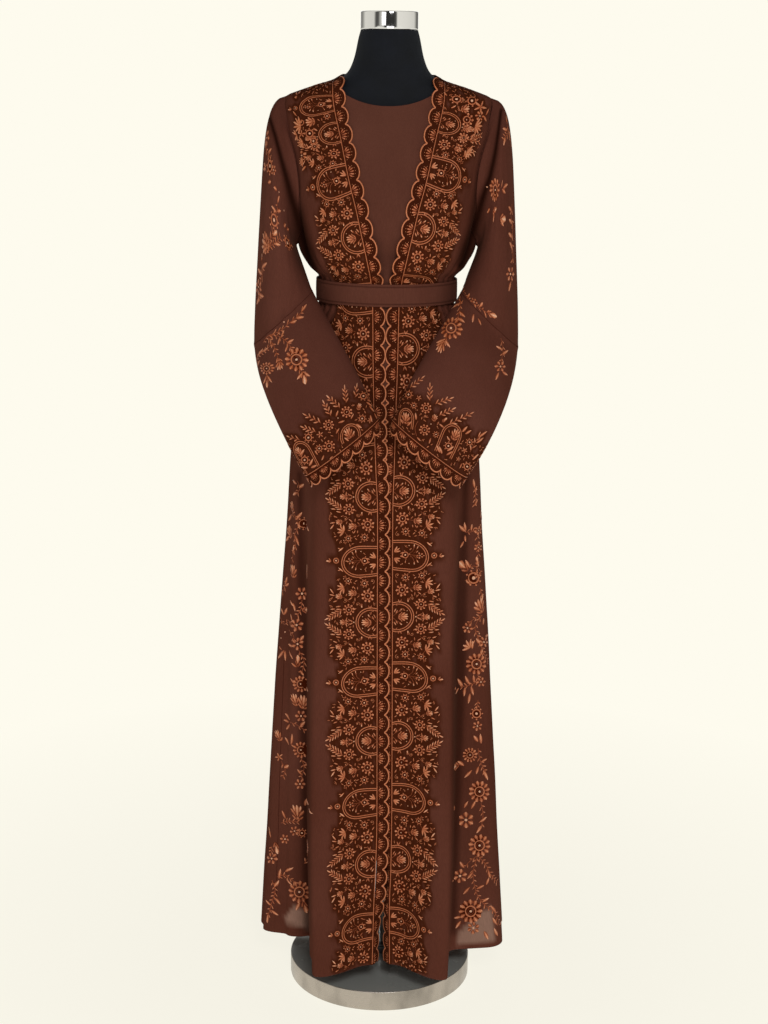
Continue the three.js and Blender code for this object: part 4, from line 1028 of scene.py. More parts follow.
class Sleeve:
    """One sleeve: upper and lower shells, the cuff's scallops and a chart of each."""

    def __init__(self, side):
        self.side = side
        self.columns, self.margin = 112, 28
        # turn 180 is the inner end; columns run from there by the front to the outer end and round the back
        self.turns = np.pi - 2 * np.pi * np.arange(-self.margin,
            self.columns + self.margin + 1) / self.columns
        self.grids = {}
        for key, at in (("upper",
            np.concatenate([np.linspace(0, 0.9, 12), np.linspace(1.02, ELBOW - 0.004, 62)])),
                        ("lower", np.linspace(ELBOW + 0.004, CUFF, 60))):
            points = sleeve_grid(side, at[:, None], self.turns[None, :])
            middle = points[:, self.margin : self.margin + self.columns].mean(1, keepdims=True)
            pressed = 1.2 * crease_share(side, points) * smooth(0.05, 0.2, at)[:, None]
            points = points - unit(points - middle) * pressed[..., None]
            normals = grid_normals(points)
            if ((points - middle) * normals).sum(-1).mean() < 0:
                normals = -normals
            reach = lengths(points, 1)
            front = self.margin + self.columns // 4
            s = reach - reach[:, front : front + 1]
            run = lengths(points[:, front], 0)
            if key == "lower":
                run = run - run[-1]
            self.grids[key] = (at, points, normals, s, run)
        self.charts = {k: Chart(g[1], g[2], g[3], g[4]) for k, g in self.grids.items()}

    def build(self):
        name = side_name(self.side)
        self.pieces = {}
        for key, (_, points, normals, s, run) in self.grids.items():
            keep = slice(self.margin, self.margin + self.columns)
            uv = np.stack([s[:, keep], run[:, None] + 0 * s[:, keep]], -1)
            # painted shade in the cuff's band, kept later only close to its stitches
            shade_and_stitching = 0 * s[:, keep]
            if key == "lower":
                up = -run[:, None] + 7 * crease_noise(s[:, keep] / 25 + 9, 0 * s[:, keep])
                shade_and_stitching = smooth(88, 66, up)
            # painted shade in the crease beside the body
            piece = cloth_shell(f"sleeve_{key}_{name}_cloth", points[:, keep], normals[:, keep],
                CLOTH["wall"], uv,
                                sleeve_brown, looped=True, attributes={
                                    "shade_and_stitching": shade_and_stitching, "painted_shade": 0.95
                                    * crease_share(self.side, points[:, keep])})
            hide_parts(f"sleeve_{key}_{name}")
            self.pieces[key] = piece
        self.build_cuff()

    def build_cuff(self):
        """The cuff's scalloped band: w hangs on from the sleeve's end and t runs round it."""
        side = self.side
        turns = np.pi - 2 * np.pi * np.arange(0, 1441) / 1440
        ring = sleeve_grid(side, np.full(turns.shape, float(CUFF)), turns)
        run = np.concatenate([[0], np.cumsum(np.linalg.norm(np.diff(ring, axis=0), axis=1))])
        self.cuff_total = run[-1]
        count = SCALLOP["cuff_count"]
        steps = count * 20
        t = np.linspace(0, self.cuff_total, steps + 1)
        turn = np.interp(t, run, turns)
        start = sleeve_grid(side, np.full(turn.shape, float(CUFF)), turn)
        before = sleeve_grid(side, np.full(turn.shape, CUFF - 0.3), turn)
        along = unit(start - before)
        inner = ((1 - np.cos(turn)) / 2)[:, None]
        hanging = unit(mix(along, np.array([0, 0, -1.0]), 0.75 * inner))
        w = np.linspace(0, 24, 14)
        points = start[:, None] + along[:, None] * 0.3 + hanging[:, None] * w[None, :, None]
        normals = grid_normals(points)
        middle = points.mean((0, 1))
        if ((points - middle) * normals).sum(-1).mean() < 0:
            normals = -normals
        wide = lambda g: np.concatenate([g[-41:-1], g, g[1:41]])
        self.cuff_pitch = self.cuff_total / count
        far = np.concatenate([t[-41:-1] - self.cuff_total, t, t[1:41] + self.cuff_total])
        self.cuff_chart = Chart(wide(points), wide(normals), w + 0 * far[:, None], far, 1.4)
        self.front_t = float(np.interp(-np.pi / 2, -turns, run))
        share = np.linspace(0, 1, 9)[None, :]
        ts = t[:-1, None] + 0 * share
        width = scallop_width(ts / self.cuff_pitch * SCALLOP["pitch"])
        ws = width * share
        cloth, facing = self.cuff_chart.at(ws, ts)
        piece = cloth_shell(f"cuff_{side_name(side)}", cloth.transpose(1, 0, 2), facing.transpose(1, 0, 2),
            CLOTH["wall"],
                            np.stack([ts, ws], -1).transpose(1, 0, 2), border_crepe_painted_shade, looped=True)
        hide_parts(f"sleeve_border_{side_name(side)}")
        self.pieces["cuff"] = piece


def build_belt():
    girth = BELT_ROUND
    sweep = 2 * np.pi * (1 + BELT["overlap"] / girth)
    k = np.linspace(0, 1, 260)[:, None]
    turn = np.pi - sweep * BELT["overlap"] / girth / 4 + sweep * k
    lap = (BELT["wall"] + 0.5) * smooth(2 * np.pi - 0.9, 2 * np.pi - 0.1, sweep * k)
    # round the section: up the outer face and down the inner one
    half, wall = BELT["width"] / 2, BELT["wall"]
    up = np.concatenate([np.linspace(-1, 1, 31), np.linspace(1, -1, 31)])
    out = np.concatenate([np.ones(31), np.zeros(31)])
    z = BELT["middle"] + half * up[None, :] + 0 * turn
    tone = crease_noise(turn * 5 + 3, up[None, :] * 1.2 + 7)
    round_off = 0.55 * np.clip(np.abs(up) * 1.25 - 0.25, 0, 1) ** 6
    stitch = 0.35 * np.exp(-(((np.abs(up) * half - half + 4.2) / 0.9) ** 2))
    sag = 0.9 * np.exp(-(((up + 0.15) / 0.12) ** 2)) * smooth(0.2, 0.9,
        crease_noise(turn * 2.2, 0 * turn + 0.4))
    thick = np.where(out[None, :] > 0, wall - round_off - stitch - 0.35 * np.clip(sag, 0, 1) + 0.25 * tone,
        round_off * 0.5)
    grow = BELT["clear"] + lap + thick
    depth = np.where(np.cos(turn) > 0, OUTER["front"](BELT["middle"]), OUTER["back"](BELT["middle"])) + grow
    points = np.stack([(OUTER["side"](BELT["middle"]) + grow) * np.sin(turn), -depth * np.cos(turn), z], -1)
    rows, columns = points.shape[:2]
    i, j = np.meshgrid(np.arange(rows - 1), np.arange(columns), indexing="ij")
    n = (j + 1) % columns
    quads = np.stack([i * columns + j, i * columns + n, (i + 1) * columns + n, (i + 1) * columns + j],
        -1).reshape(-1, 4)
    ends = []
    for row in (0, rows - 1):
        for a in range(30):
            b = columns - 1 - a
            quad = [row * columns + a, row * columns + a + 1, row * columns + b - 1, row * columns + b]
            ends.append(quad if row else quad[::-1])
    faces = np.concatenate([quads, ends])
    flat = points.reshape(-1, 3)
    uv = np.stack([turn * 100 + 0 * z, z], -1).reshape(-1, 2)
    # darker along the stitch lines
    piece = make_mesh("belt", flat, flip_outward(flat, faces), uv, {"shade_and_stitching": 2 * stitch + 0 * z},
        belt_brown, sharp=60)
    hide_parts("abaya_belt")
    return piece


fronts = {side: Front(side) for side in (1, -1)}
borders = {side: Border(front) for side, front in fronts.items()}
sleeves = {side: Sleeve(side) for side in (1, -1)}
for built in (*fronts.values(), *borders.values(), *sleeves.values()):
    built.build()
back, back_width = build_back()
insert = build_insert()
belt = build_belt()

PIXEL_SIZE = 1.8  # mm of cloth that one pixel covers at the middle of the object


def find(surface, pixels, a_span, b_span):
    """The places on a surface that the camera sees at these pixels."""
    pixels = np.array(pixels, float).reshape(-1, 2)
    a, b = np.meshgrid(np.linspace(*a_span, 70), np.linspace(*b_span, 200), indexing="ij")
    points, normals = surface(a, b)
    faces_camera = (normals * (np.array(CAMERA_AT) / MM - points)).sum(-1) > 0
    spots = to_image(points)
    away = ((spots[None] - pixels[:, None, None]) ** 2).sum(-1) + np.where(faces_camera, 0, 1e6)
    nearest = away.reshape(len(pixels), -1).argmin(1)
    place = np.stack([a.ravel()[nearest], b.ravel()[nearest]], -1)
    for _ in range(6):
        here = to_image(surface(place[:, 0], place[:, 1])[0])
        sides = [to_image(surface(place[:, 0] + da, place[:, 1] + db)[0]) - here for da,
            db in ((0.5, 0), (0, 0.5))]
        slope = np.stack(sides, -1) / 0.5
        step = np.einsum("nij,nj->ni", np.linalg.pinv(slope, rcond=0.05), pixels - here)
        place = place + np.clip(step, -6, 6)
    return place


# ---------------------------------------------------------------- embroidery
# pad is the lift of the flat dark discs of painted shadow under open flowers
THREAD = {"sunk": 0.12, "petal": 0.5, "line": 0.34, "pad": 0.06, "plump": 1.3}
chance = np.random.default_rng(7)


class Stitches:
    """Raised thread shapes, gathered in the flat millimetres of one surface."""

    def __init__(self):
        self.parts = []

    def add(self, xy, height, faces, tone, uv):
        self.parts.append((xy, height, np.asarray(faces), tone + 0 * height, uv))

    def keep(self, test):
        """Drops the shapes that reach past an edge."""
        self.parts = [part for part in self.parts if test(part[0])]

    def repeat(self, shift):
        """Makes every shape once more, this far away."""
        self.parts += [(part[0] + shift, *part[1:]) for part in self.parts]

    def build(self, name, surface):
        counts = [len(part[0]) for part in self.parts]
        starts = np.concatenate([[0], np.cumsum(counts)[:-1]])
        xy, height, _, tone, uv = (np.concatenate(column) for column in zip(*self.parts))
        faces = np.concatenate([part[2] + start for part, start in zip(self.parts, starts)])
        points, normals = surface(xy[:, 0], xy[:, 1])
        points = points + normals * height[:, None]
        a, b, c = (points[faces[:, k]] for k in range(3))
        inward = (np.cross(b - a, c - a) * normals[faces[:, 0]]).sum(-1) < 0
        faces[inward] = faces[inward][:, ::-1]
        piece = make_mesh(name, points, faces, uv, {"tone": np.clip(tone, 0, 1)}, copper_thread, sharp=75)
        return piece


def strip_faces(rows, closed=False):
    """Triangles between rows of three points each: left, middle, right."""
    spans = rows if closed else rows - 1
    i = np.arange(spans)
    j = (i + 1) % rows
    faces = []
    for side in (0, 1):
        a, b, c, d = i * 3 + side, j * 3 + side, j * 3 + side + 1, i * 3 + side + 1
        faces += [np.stack([a, b, c], -1), np.stack([a, c, d], -1)]
    return np.concatenate(faces)


PETAL_AT = np.array([0.07, 0.24, 0.46, 0.7, 0.92])
PETAL_FACES = np.concatenate([
    strip_faces(5), [(15, 0, 1), (15, 1, 2), (16, 13, 12), (16, 14, 13)]])


def curve_through(points, step=1.6):
    """A smooth path through given points."""
    points = np.array(points, float)
    if len(points) == 2:
        points = np.array([points[0], points.mean(0), points[1]])
    padded = np.concatenate([[2 * points[0] - points[1]], points, [2 * points[-1] - points[-2]]])
    path = []
    for a, b, c, d in zip(padded, padded[1:], padded[2:], padded[3:]):
        t = np.linspace(0, 1, max(2, int(np.linalg.norm(c - b) / step) + 1))[:-1, None]
        path.append(hermite(b, c, (c - a) / 2, (d - b) / 2, t))
    return np.concatenate([*path, points[-1:]])


class Pen:
    """Draws thread shapes in a frame of its own: x is the way a motif grows."""

    def __init__(self, stitches, origin=(0, 0), axes=np.eye(2)):
        self.stitches, self.origin, self.axes = stitches, np.array(origin, float), axes

    def at(self, x, y, turn=0, scale=1, flip=False):
        a = math.radians(turn)
        axes = np.array([[math.cos(a), -math.sin(a)], [math.sin(a), math.cos(a)]]) * scale
        return Pen(self.stitches, self.place((x, y)), self.axes @ axes @ np.diag([1, -1 if flip else 1]))

    def place(self, xy):
        return self.origin + np.asarray(xy, float) @ self.axes.T

    # -------- single shapes
    def petal(self, x, y, turn, length, width, tone=0.6, widest=0.44, bend=0.0):
        """A padded satin leaf from its root, with painted shade at its rim and root and a painted highlight
        along its back and towards its tip.
        """
        u = PETAL_AT
        width *= THREAD["plump"]
        half = width / 2 * np.sin(np.pi * u ** (math.log(0.5) / math.log(widest))) ** 0.8
        lean = bend * length * u * u
        rows = np.stack([np.stack([u * length, lean + half * k], -1) for k in (-1, 0, 1)], 1).reshape(-1, 2)
        local = np.concatenate([rows, [[0, 0], [length, bend * length]]])
        a = math.radians(turn)
        xy = self.place(local @ np.array([[math.cos(a), math.sin(a)], [-math.sin(a), math.cos(a)]])
            + (x, y))
        ridge = THREAD["petal"] * np.minimum(1, width / 2.4)
        height = np.concatenate([np.tile([-THREAD["sunk"], ridge, -THREAD["sunk"]], 5),
            [-THREAD["sunk"]] * 2])
        tone = tone + chance.uniform(-0.06, 0.06)
        shade = np.concatenate([(0.26 * u - 0.16)[:, None] + (-0.42, 0.12, -0.42),
            [[-0.44, 0, 0], [-0.04, 0, 0]]])
        shade = np.concatenate([shade[:5].ravel(), shade[5:, 0]])
        self.stitches.add(xy, height, PETAL_FACES, tone + shade, local)

    def ribbon(self, path, width, tone=0.6, closed=False):
        """A satin line along a path, rounded across, with painted shade along its edges."""
        path = np.asarray(path, float)
        width *= 1.15
        if closed:
            run = np.roll(path, -1, 0) - np.roll(path, 1, 0)
        else:
            run = np.gradient(path, axis=0)
        run = unit(run)
        out = np.stack([-run[:, 1], run[:, 0]], -1)
        rows = np.stack([path + out * width / 2 * k for k in (-1, 0, 1)], 1).reshape(-1, 2)
        ridge = THREAD["line"] * min(1, 0.4 + width / 3)
        height = np.tile([-THREAD["sunk"], ridge, -THREAD["sunk"]], len(path))
        along = np.concatenate([[0], np.cumsum(np.linalg.norm(np.diff(path, axis=0), axis=1))])
        uv = np.stack([np.repeat(along, 3), np.tile([-width / 2, 0, width / 2], len(path))], -1)
        shade = np.tile([-0.24, 0.02, -0.24], len(path))
        self.stitches.add(self.place(rows), height, strip_faces(len(path), closed), tone + shade, uv)

    def stem(self, *points, width=0.95, tone=0.5):
        self.ribbon(curve_through(points), width, tone)

    def ring(self, x, y, radius, width, tone=0.6, sides=None):
        sides = sides or max(10, int(radius * 3.2))
        a = np.arange(sides) / sides * 2 * np.pi
        self.ribbon(np.stack([x + radius * np.cos(a), y + radius * np.sin(a)], -1), width, tone,
            closed=True)

    def disc(self, x, y, radius, tone, high):
        """A flat or domed round of thread."""
        sides = 9 if radius < 2.5 else 16
        a = np.arange(sides) / sides * 2 * np.pi
        local = np.concatenate([[[x, y]], np.stack([x + radius * np.cos(a), y + radius * np.sin(a)], -1)])
        k = np.arange(sides)
        faces = np.stack([0 * k, 1 + k, 1 + (k + 1) % sides], -1)
        height = np.concatenate([[high], np.full(sides, -THREAD["sunk"] if high > 0.1 else THREAD["pad"])])
        self.stitches.add(self.place(local), height, faces, np.full(sides + 1, tone), local)

    def dot(self, x, y, radius, tone=0.8):
        self.disc(x, y, radius, tone, 0.3 + 0.12 * radius)

    def pad(self, x, y, radius):
        """A flat dark disc of painted shadow under an open flower."""
        self.disc(x, y, radius, 0.13, THREAD["pad"])

    # -------- motifs
    def sunburst(self, x, y, radius, rays=10):
        start = chance.uniform(0, 360)
        self.pad(x, y, radius * 0.86)
        self.dot(x, y, radius * 0.12, 0.86)
        self.ring(x, y, radius * 0.26, radius * 0.08, 0.3)
        self.ring(x, y, radius * 0.47, radius * 0.2, 0.64)
        rays = min(rays, 9)
        for k in range(rays):
            turn = start + 360 * k / rays
            a = math.radians(turn)
            self.petal(x + radius * 0.52 * math.cos(a), y + radius * 0.52 * math.sin(a), turn,
                radius * 0.46,
                       radius * 0.44, 0.64, 0.58)

    def sunflower(self, x, y, radius, rays=12):
        start = chance.uniform(0, 360)
        self.pad(x, y, radius * 0.9)
        self.dot(x, y, radius * 0.12, 0.9)
        self.ring(x, y, radius * 0.25, radius * 0.07, 0.36)
        self.ring(x, y, radius * 0.42, radius * 0.15, 0.66)
        for k in range(rays):
            turn = start + 360 * k / rays
            a = math.radians(turn)
            self.petal(x + radius * 0.46 * math.cos(a), y + radius * 0.46 * math.sin(a), turn,
                radius * 0.52,
                       radius * 0.4, 0.6, 0.6)

    def ring_flower(self, x, y, radius, knobs=8):
        self.pad(x, y, radius * 0.85)
        self.dot(x, y, radius * 0.26, 0.86)
        self.ring(x, y, radius * 0.64, radius * 0.3, 0.62)
        start = chance.uniform(0, 360)
        for k in range(knobs):
            turn = start + 360 * k / knobs
            a = math.radians(turn)
            self.petal(x + radius * 0.72 * math.cos(a), y + radius * 0.72 * math.sin(a), turn,
                radius * 0.34,
                       radius * 0.36, 0.6, 0.6)

    def flower(self, x, y, radius, petals=6):
        start = chance.uniform(0, 360)
        for k in range(petals):
            turn = start + 360 * k / petals
            a = math.radians(turn)
            self.petal(x + radius * 0.24 * math.cos(a), y + radius * 0.24 * math.sin(a), turn,
                radius * 0.78,
                       radius * 0.62, 0.6, 0.6)
        self.dot(x, y, radius * 0.2, 0.85)

    def tulip(self, x, y, turn, size):
        """A cup of three petals on two sepals, growing along its turn."""
        pen = self.at(x, y, turn)
        for k in (-1, 1):
            pen.petal(0, 0, 62 * k, size * 0.42, size * 0.17, 0.55, bend=-0.2 * k)
            pen.petal(size * 0.14, size * 0.04 * k, 27 * k, size * 0.62, size * 0.24, 0.58, 0.55,
                bend=0.14 * k)
            pen.petal(size * 0.5, size * 0.14 * k, 12 * k, size * 0.42, size * 0.15, 0.78, 0.55)
        pen.petal(size * 0.18, 0, 0, size * 0.78, size * 0.27, 0.7, 0.55)
        pen.dot(size * 0.1, 0, size * 0.1, 0.6)

    def bud(self, x, y, turn, size):
        pen = self.at(x, y, turn)
        for k in (-1, 1):
            pen.petal(0, 0, 30 * k, size * 0.5, size * 0.2, 0.5, bend=-0.1 * k)
        pen.petal(size * 0.22, 0, 0, size * 0.72, size * 0.34, 0.78, 0.6)

    def frond(self, x, y, turn, length, pairs=4, leaf=9.4, spread=36, bend=0.0):
        """A stem with leaves at both sides and one at its tip."""
        pen = self.at(x, y, turn)
        reach = length - leaf * 0.7
        lean = lambda u: bend * length * u * u
        pen.stem((0, 0), (reach * 0.5, lean(0.5)), (reach, lean(1)), width=0.9)
        for k in range(pairs):
            u = (k + 0.35) / pairs
            for side in (-1, 1):
                shift = 0.16 * side / pairs
                size = leaf * (1 - 0.22 * u) * chance.uniform(0.9, 1.08)
                swing = math.degrees(2 * bend * u)
                pen.petal(reach * (u + shift), lean(u), swing + side * spread, size, leaf * 0.27, 0.7)
        pen.petal(reach, lean(1), math.degrees(2 * bend), leaf * 0.95, leaf * 0.27, 0.78)

    def tuft(self, x, y, turn, size, leaves=3, spread=28):
        pen = self.at(x, y, turn)
        for k in range(leaves):
            off = k - (leaves - 1) / 2
            pen.petal(0, 0, off * spread, size * (1 - 0.07 * abs(off)), size * 0.3, 0.68, bend=0.05 * off)

    def sprig(self, x, y, turn, size):
        """A short stem with a leaf at each side and a bud."""
        pen = self.at(x, y, turn)
        pen.stem((0, 0), (size * 0.6, 0), width=0.85)
        pen.petal(size * 0.14, 0, 48, size * 0.42, size * 0.15, 0.62)
        pen.petal(size * 0.3, 0, -48, size * 0.42, size * 0.15, 0.62)
        pen.bud(size * 0.55, 0, 0, size * 0.45)

    def curl(self, x, y, turn, size):
        pen = self.at(x, y, turn)
        a = np.linspace(0, 1.5 * np.pi, 12)
        r = size * (0.5 - 0.3 * a / a[-1])
        pen.ribbon(np.stack([r * np.cos(a), r * np.sin(a)], -1), size * 0.13, 0.62)
        pen.dot(0, 0, size * 0.14, 0.7)

    def arch(self, height, half, width=1.9, gap=3.6, lean=0.0):
        """Two lines over a medallion that opens on the piping at x = 0."""
        for inset, tone in ((0, 0.66), (gap, 0.62)):
            high, wide = height - inset, half - inset
            a = np.linspace(-np.pi / 2, np.pi / 2, 40)
            knee = np.maximum(high - wide * 1.15, high * 0.25)
            x = knee + (high - knee) * np.cos(a)
            y = wide * np.sin(a)
            legs = np.linspace(0, knee, 14)[:-1]
            x = np.concatenate([legs, x, legs[::-1]])
            swell = np.sin(legs / knee * np.pi / 2) * 0.06
            y = np.concatenate([-wide * (0.94 + swell), y, wide * (0.94 + swell[::-1])])
            self.ribbon(np.stack([x, y + lean * x / height], -1), width, tone)


def large_medallion(pen):
    """A deep oval that opens on the piping, with a ring flower, a star flower and budding stems."""
    pen.arch(59, 26, lean=5)
    for k in (-1, 1):
        pen.tuft(2, 5 * k, 34 * k, 12, 3, 24)
        pen.petal(12, 2.5 * k, 12 * k, 7, 2.4, 0.66)
        pen.stem((28, 2 * k), (33, 6 * k), (35, 12 * k), width=0.9)
        pen.bud(35, 11 * k, 82 * k, 6.5)
        pen.stem((34, 2 * k), (38, 6 * k), (40, 10 * k), width=0.8)
        pen.petal(39.5, 9 * k, 62 * k, 6, 2.1, 0.8)
        pen.petal(38, 3 * k, 38 * k, 5, 1.8, 0.66)
    pen.ring_flower(20.7, 0.5, 7.6, 4)
    pen.stem((28, 0.5), (40, 1.5), width=0.9)
    pen.flower(45, 1.8, 5.6, 5)
    pen.dot(27, 15, 1.1)
    pen.dot(27, -15, 1.1)
    pen.dot(51.5, 2, 1.2, 0.7)
    pen.ring_flower(68.4, 2, 6.8, 0)
    pen.ring(68.4, 2, 3.2, 0.8, 0.6)
    pen.bud(76, 3, 4, 10)
    pen.petal(77, 2, 48, 6, 2.1, 0.62)
    pen.petal(77, 3, -48, 6, 2.1, 0.62)


def small_medallion(pen):
    """A shallow round with a tulip on budding stems."""
    pen.arch(35, 25.5, lean=0)
    pen.tulip(9, 0, 0, 18)
    for k in (-1, 1):
        pen.stem((1, 2 * k), (7, 7 * k), (12, 10 * k), width=0.9)
        pen.bud(11, 9 * k, 50 * k, 7)
        pen.petal(5, 5 * k, 66 * k, 7.5, 2.4, 0.66)
        pen.petal(2, 8 * k, 60 * k, 7.5, 2.4, 0.7)
        pen.petal(13, 4 * k, 60 * k, 5.5, 2.0, 0.62)
    pen.dot(24, -10, 1.0)
    pen.dot(24, 10, 1.0)
    pen.dot(38.5, 0, 1.5)
    for k in (-1, 1):
        pen.petal(40, 0.4 * k, 34 * k, 7, 2.2, 0.66)
        pen.petal(45, 1 * k, 60 * k, 6, 2.0, 0.6)
        pen.petal(47, 1 * k, 24 * k, 6, 2.0, 0.62)
    pen.tulip(50, 0, 0, 13)


def half_cell(pen):
    """What lies between a large medallion's middle, y = 0, and a small one's at y = 104."""
    pen.sprig(52, 25, 60, 9)
    pen.petal(56, 20, -38, 11, 2.6, 0.78)
    pen.petal(61, 17, 20, 5, 2.0, 0.66)
    pen.ring_flower(21, 38, 6.9)
    pen.ring_flower(48, 35, 6.3, 7)
    pen.curl(8, 34, 100, 8)
    pen.petal(4, 41, 62, 7, 2.2, 0.62)
    for x, y, turn in ((33, 33, 40), (35, 40, -30), (33, 44, 100), (30, 29, 160), (39, 43, 60),
            (13, 45, 80)):
        pen.petal(x, y, turn, 5, 2.0, 0.66)
    pen.tuft(55, 46, 20, 13, 5, 30)
    pen.stem((51, 41), (55, 46), width=0.8)
    pen.petal(60, 52, 78, 8, 2.4, 0.72)
    pen.sunburst(15.6, 59, 11.2, 11)
    pen.stem((27, 57), (36, 55), width=0.8)
    pen.petal(29, 58, 48, 6, 2.0, 0.62)
    pen.tulip(34, 54.5, 4, 15)
    pen.petal(36, 49, -58, 6, 2.0, 0.64)
    pen.petal(41, 62, 36, 8, 2.3, 0.68)
    pen.petal(37, 62, 96, 6.5, 2.1, 0.62)
    pen.stem((46, 70), (53, 64), (60, 62), width=0.85)
    pen.curl(53, 67, 40, 8)
    pen.tulip(58, 62, -8, 12)
    pen.petal(70, 60, -10, 9.5, 2.5, 0.76)
    pen.petal(72, 57, -52, 11, 2.6, 0.8)
    pen.petal(66, 68, 22, 8, 2.3, 0.7)
    pen.curl(32, 74, 150, 8)
    pen.bud(26, 72, 96, 8)
    pen.petal(34, 80, 32, 7, 2.2, 0.64)
    pen.petal(9, 74, 70, 7, 2.2, 0.64)
    pen.petal(15, 74, 118, 7, 2.2, 0.6)
    pen.sunburst(47, 83, 10, 10)
    pen.stem((57, 84), (64, 86), width=0.85)
    pen.frond(58, 82, 40, 33, 5, 9.6, 40, -0.08)
    pen.petal(60, 77, 12, 9, 2.4, 0.72)
    pen.petal(69, 82, 6, 9, 2.4, 0.76)
    pen.petal(40, 94, 100, 6, 2.0, 0.62)
    pen.petal(50, 95, 78, 7, 2.1, 0.66)
    pen.petal(4, 82, 40, 5, 1.9, 0.6)


SHOULDER_MOTIFS = {
    -1: (
        ("flower", 6, 298.4, 95.5), ("leaf", 0, 289, 96.5, 284, 98), ("sprig", 0, 292, 105, 281.5, 112),
        ("leaf", 0, 293, 109, 287, 107),
        ("leaf", 0, 297, 116, 293, 112), ("tulip", 0, 308, 114, 301, 115.5), ("curl", 8, 312.5, 113),
        ("ring", 6, 319, 111),
        ("fan", 18, 301, 126, 290, 124), ("curl", 12, 301, 122), ("tulip", 0, 315, 121, 305, 123),
        ("ring", 9, 309.5, 133.5),
        ("ring", 8, 313.5, 141), ("star", 8, 301.5, 134), ("fan", 13, 297, 135, 289, 139),
        ("leaf", 0, 291, 136, 285, 135),
        ("fan", 14, 303, 142, 294, 146), ("leaf", 0, 296, 148, 294.5, 154), ("flower", 8, 301.6, 155.5),
        ("leaf", 0, 306, 149, 311, 146),
        ("fan", 11, 303, 162, 296, 162), ("leaf", 0, 306, 166, 302, 170), ("leaf", 0, 301, 168, 297, 172),
        ("star", 6, 308, 159),
        ("leaf", 0, 320, 152, 316, 150), ("star", 6, 319, 146), ("leaf", 0, 313, 128, 317, 131),
        ("ring", 6, 327, 116), ("star", 6, 305, 108),
    ),
    1: (
        ("ring", 7.5, 456.5, 99), ("ring", 7.5, 472, 100.8), ("curl", 7, 464, 100),
        ("tulip", 0, 461, 109, 470, 109), ("leaf", 0, 447, 96, 444, 92),
        ("star", 11, 480.5, 107), ("sprig", 0, 482, 116, 492, 113.5), ("flower", 6.5, 480, 116),
        ("leaf", 0, 487, 116, 491, 119),
        ("sunburst", 10.5, 466.8, 119.7), ("fan", 17, 475, 126, 485, 130), ("leaf", 0, 477, 125, 487, 125),
        ("tulip", 0, 463, 128, 472, 129.5),
        ("curl", 8, 459.5, 127), ("sunburst", 9.5, 463, 138), ("frond", 3, 468, 140, 483, 143),
        ("leaf", 0, 470, 137, 475, 134),
        ("flower", 7, 459.5, 148), ("stem", 1, 462, 150, 467, 152, 471, 153),
        ("fan", 15, 467, 151, 474, 156), ("leaf", 0, 469, 150, 473, 146),
        ("ring", 7, 460.5, 158.7), ("bud", 0, 461, 164, 465, 169), ("leaf", 0, 463, 162, 468, 163),
        ("star", 6, 453, 166), ("leaf", 0, 451, 108, 456, 106),
    ),
}
MEDALLION_ROWS = {
    -1: {"large": (103, 178, 298, 430, 561, 681, 802, 926), "small": (132, 237, 362, 497, 623, 741, 864)},
    1: {"large": (94, 170, 285, 424, 555, 676, 797, 920), "small": (122, 227, 349, 491, 617, 736, 859)},
}
# how flat the topmost large and small medallions lie; 0 leaves one out
TOP_SQUASH = {-1: ((0.55,), (0.72,)), 1: ((0.0,), (0.72,))}
HALF_CELL = 104.0


def fill(stitches, across, along, inside, spacing=5.6, clear=2.7):
    """Strews small leaves and dots where a band still shows bare cloth."""
    cell = 1.2
    size = (int(np.ptp(across) / cell) + 12, int(np.ptp(along) / cell) + 12)
    taken = np.zeros(size, bool)
    index = lambda xy: np.clip(((xy - (across[0], along[0])) / cell + 6).astype(int), 0, np.array(size) - 1)
    for xy, _, faces, *_ in stitches.parts:
        middles = np.concatenate([xy, xy[faces].mean(1), (xy[faces[:, 0]] + xy[faces[:, 1]]) / 2])
        i, j = index(middles).T
        taken[i, j] = True
    pen = Pen(stitches)
    reach = int(clear / cell + 0.5)
    for x in np.arange(across[0], across[1], spacing):
        for y in np.arange(along[0], along[1], spacing):
            x1, y1 = chance.uniform(-0.5, 0.5, 2) * spacing * 0.8 + (x, y)
            turn, kind = chance.uniform(0, 360), chance.uniform()
            i, j = index(np.array([x1, y1]))
            if not inside(x1, y1) or taken[max(i - reach, 0) : i + reach + 1,
                    max(j - reach, 0) : j + reach + 1].any():
                continue
            taken[i - 1 : i + 2, j - 1 : j + 2] = True
            if kind < 0.3:
                pen.dot(x1, y1, 1.0, 0.72)
                pen.petal(x1, y1, turn, 4.2, 1.5, 0.6)
            elif kind < 0.75:
                pen.petal(x1 - 2 * math.cos(math.radians(turn)), y1 - 2 * math.sin(math.radians(turn)),
                    turn, 5.4, 1.8, 0.64)
            else:
                for k in (-1, 0, 1):
                    pen.petal(x1, y1, turn + 60 * k, 3.8, 1.4, 0.62)


def near_cloth(cloth, surface, most=0.0075):
    """A test that drops shapes which stand off the cloth, where a chart runs on past its panel."""
    tree = KDTree(len(cloth.data.vertices))
    for vertex in cloth.data.vertices:
        tree.insert(vertex.co, vertex.index)
    tree.balance()

    def test(xy):
        points = surface(*np.array([xy[0], xy[len(xy) // 2], xy[-1], xy.mean(0)]).T)[0]
        return all(tree.find(point * MM)[2] < most for point in points)

    return test


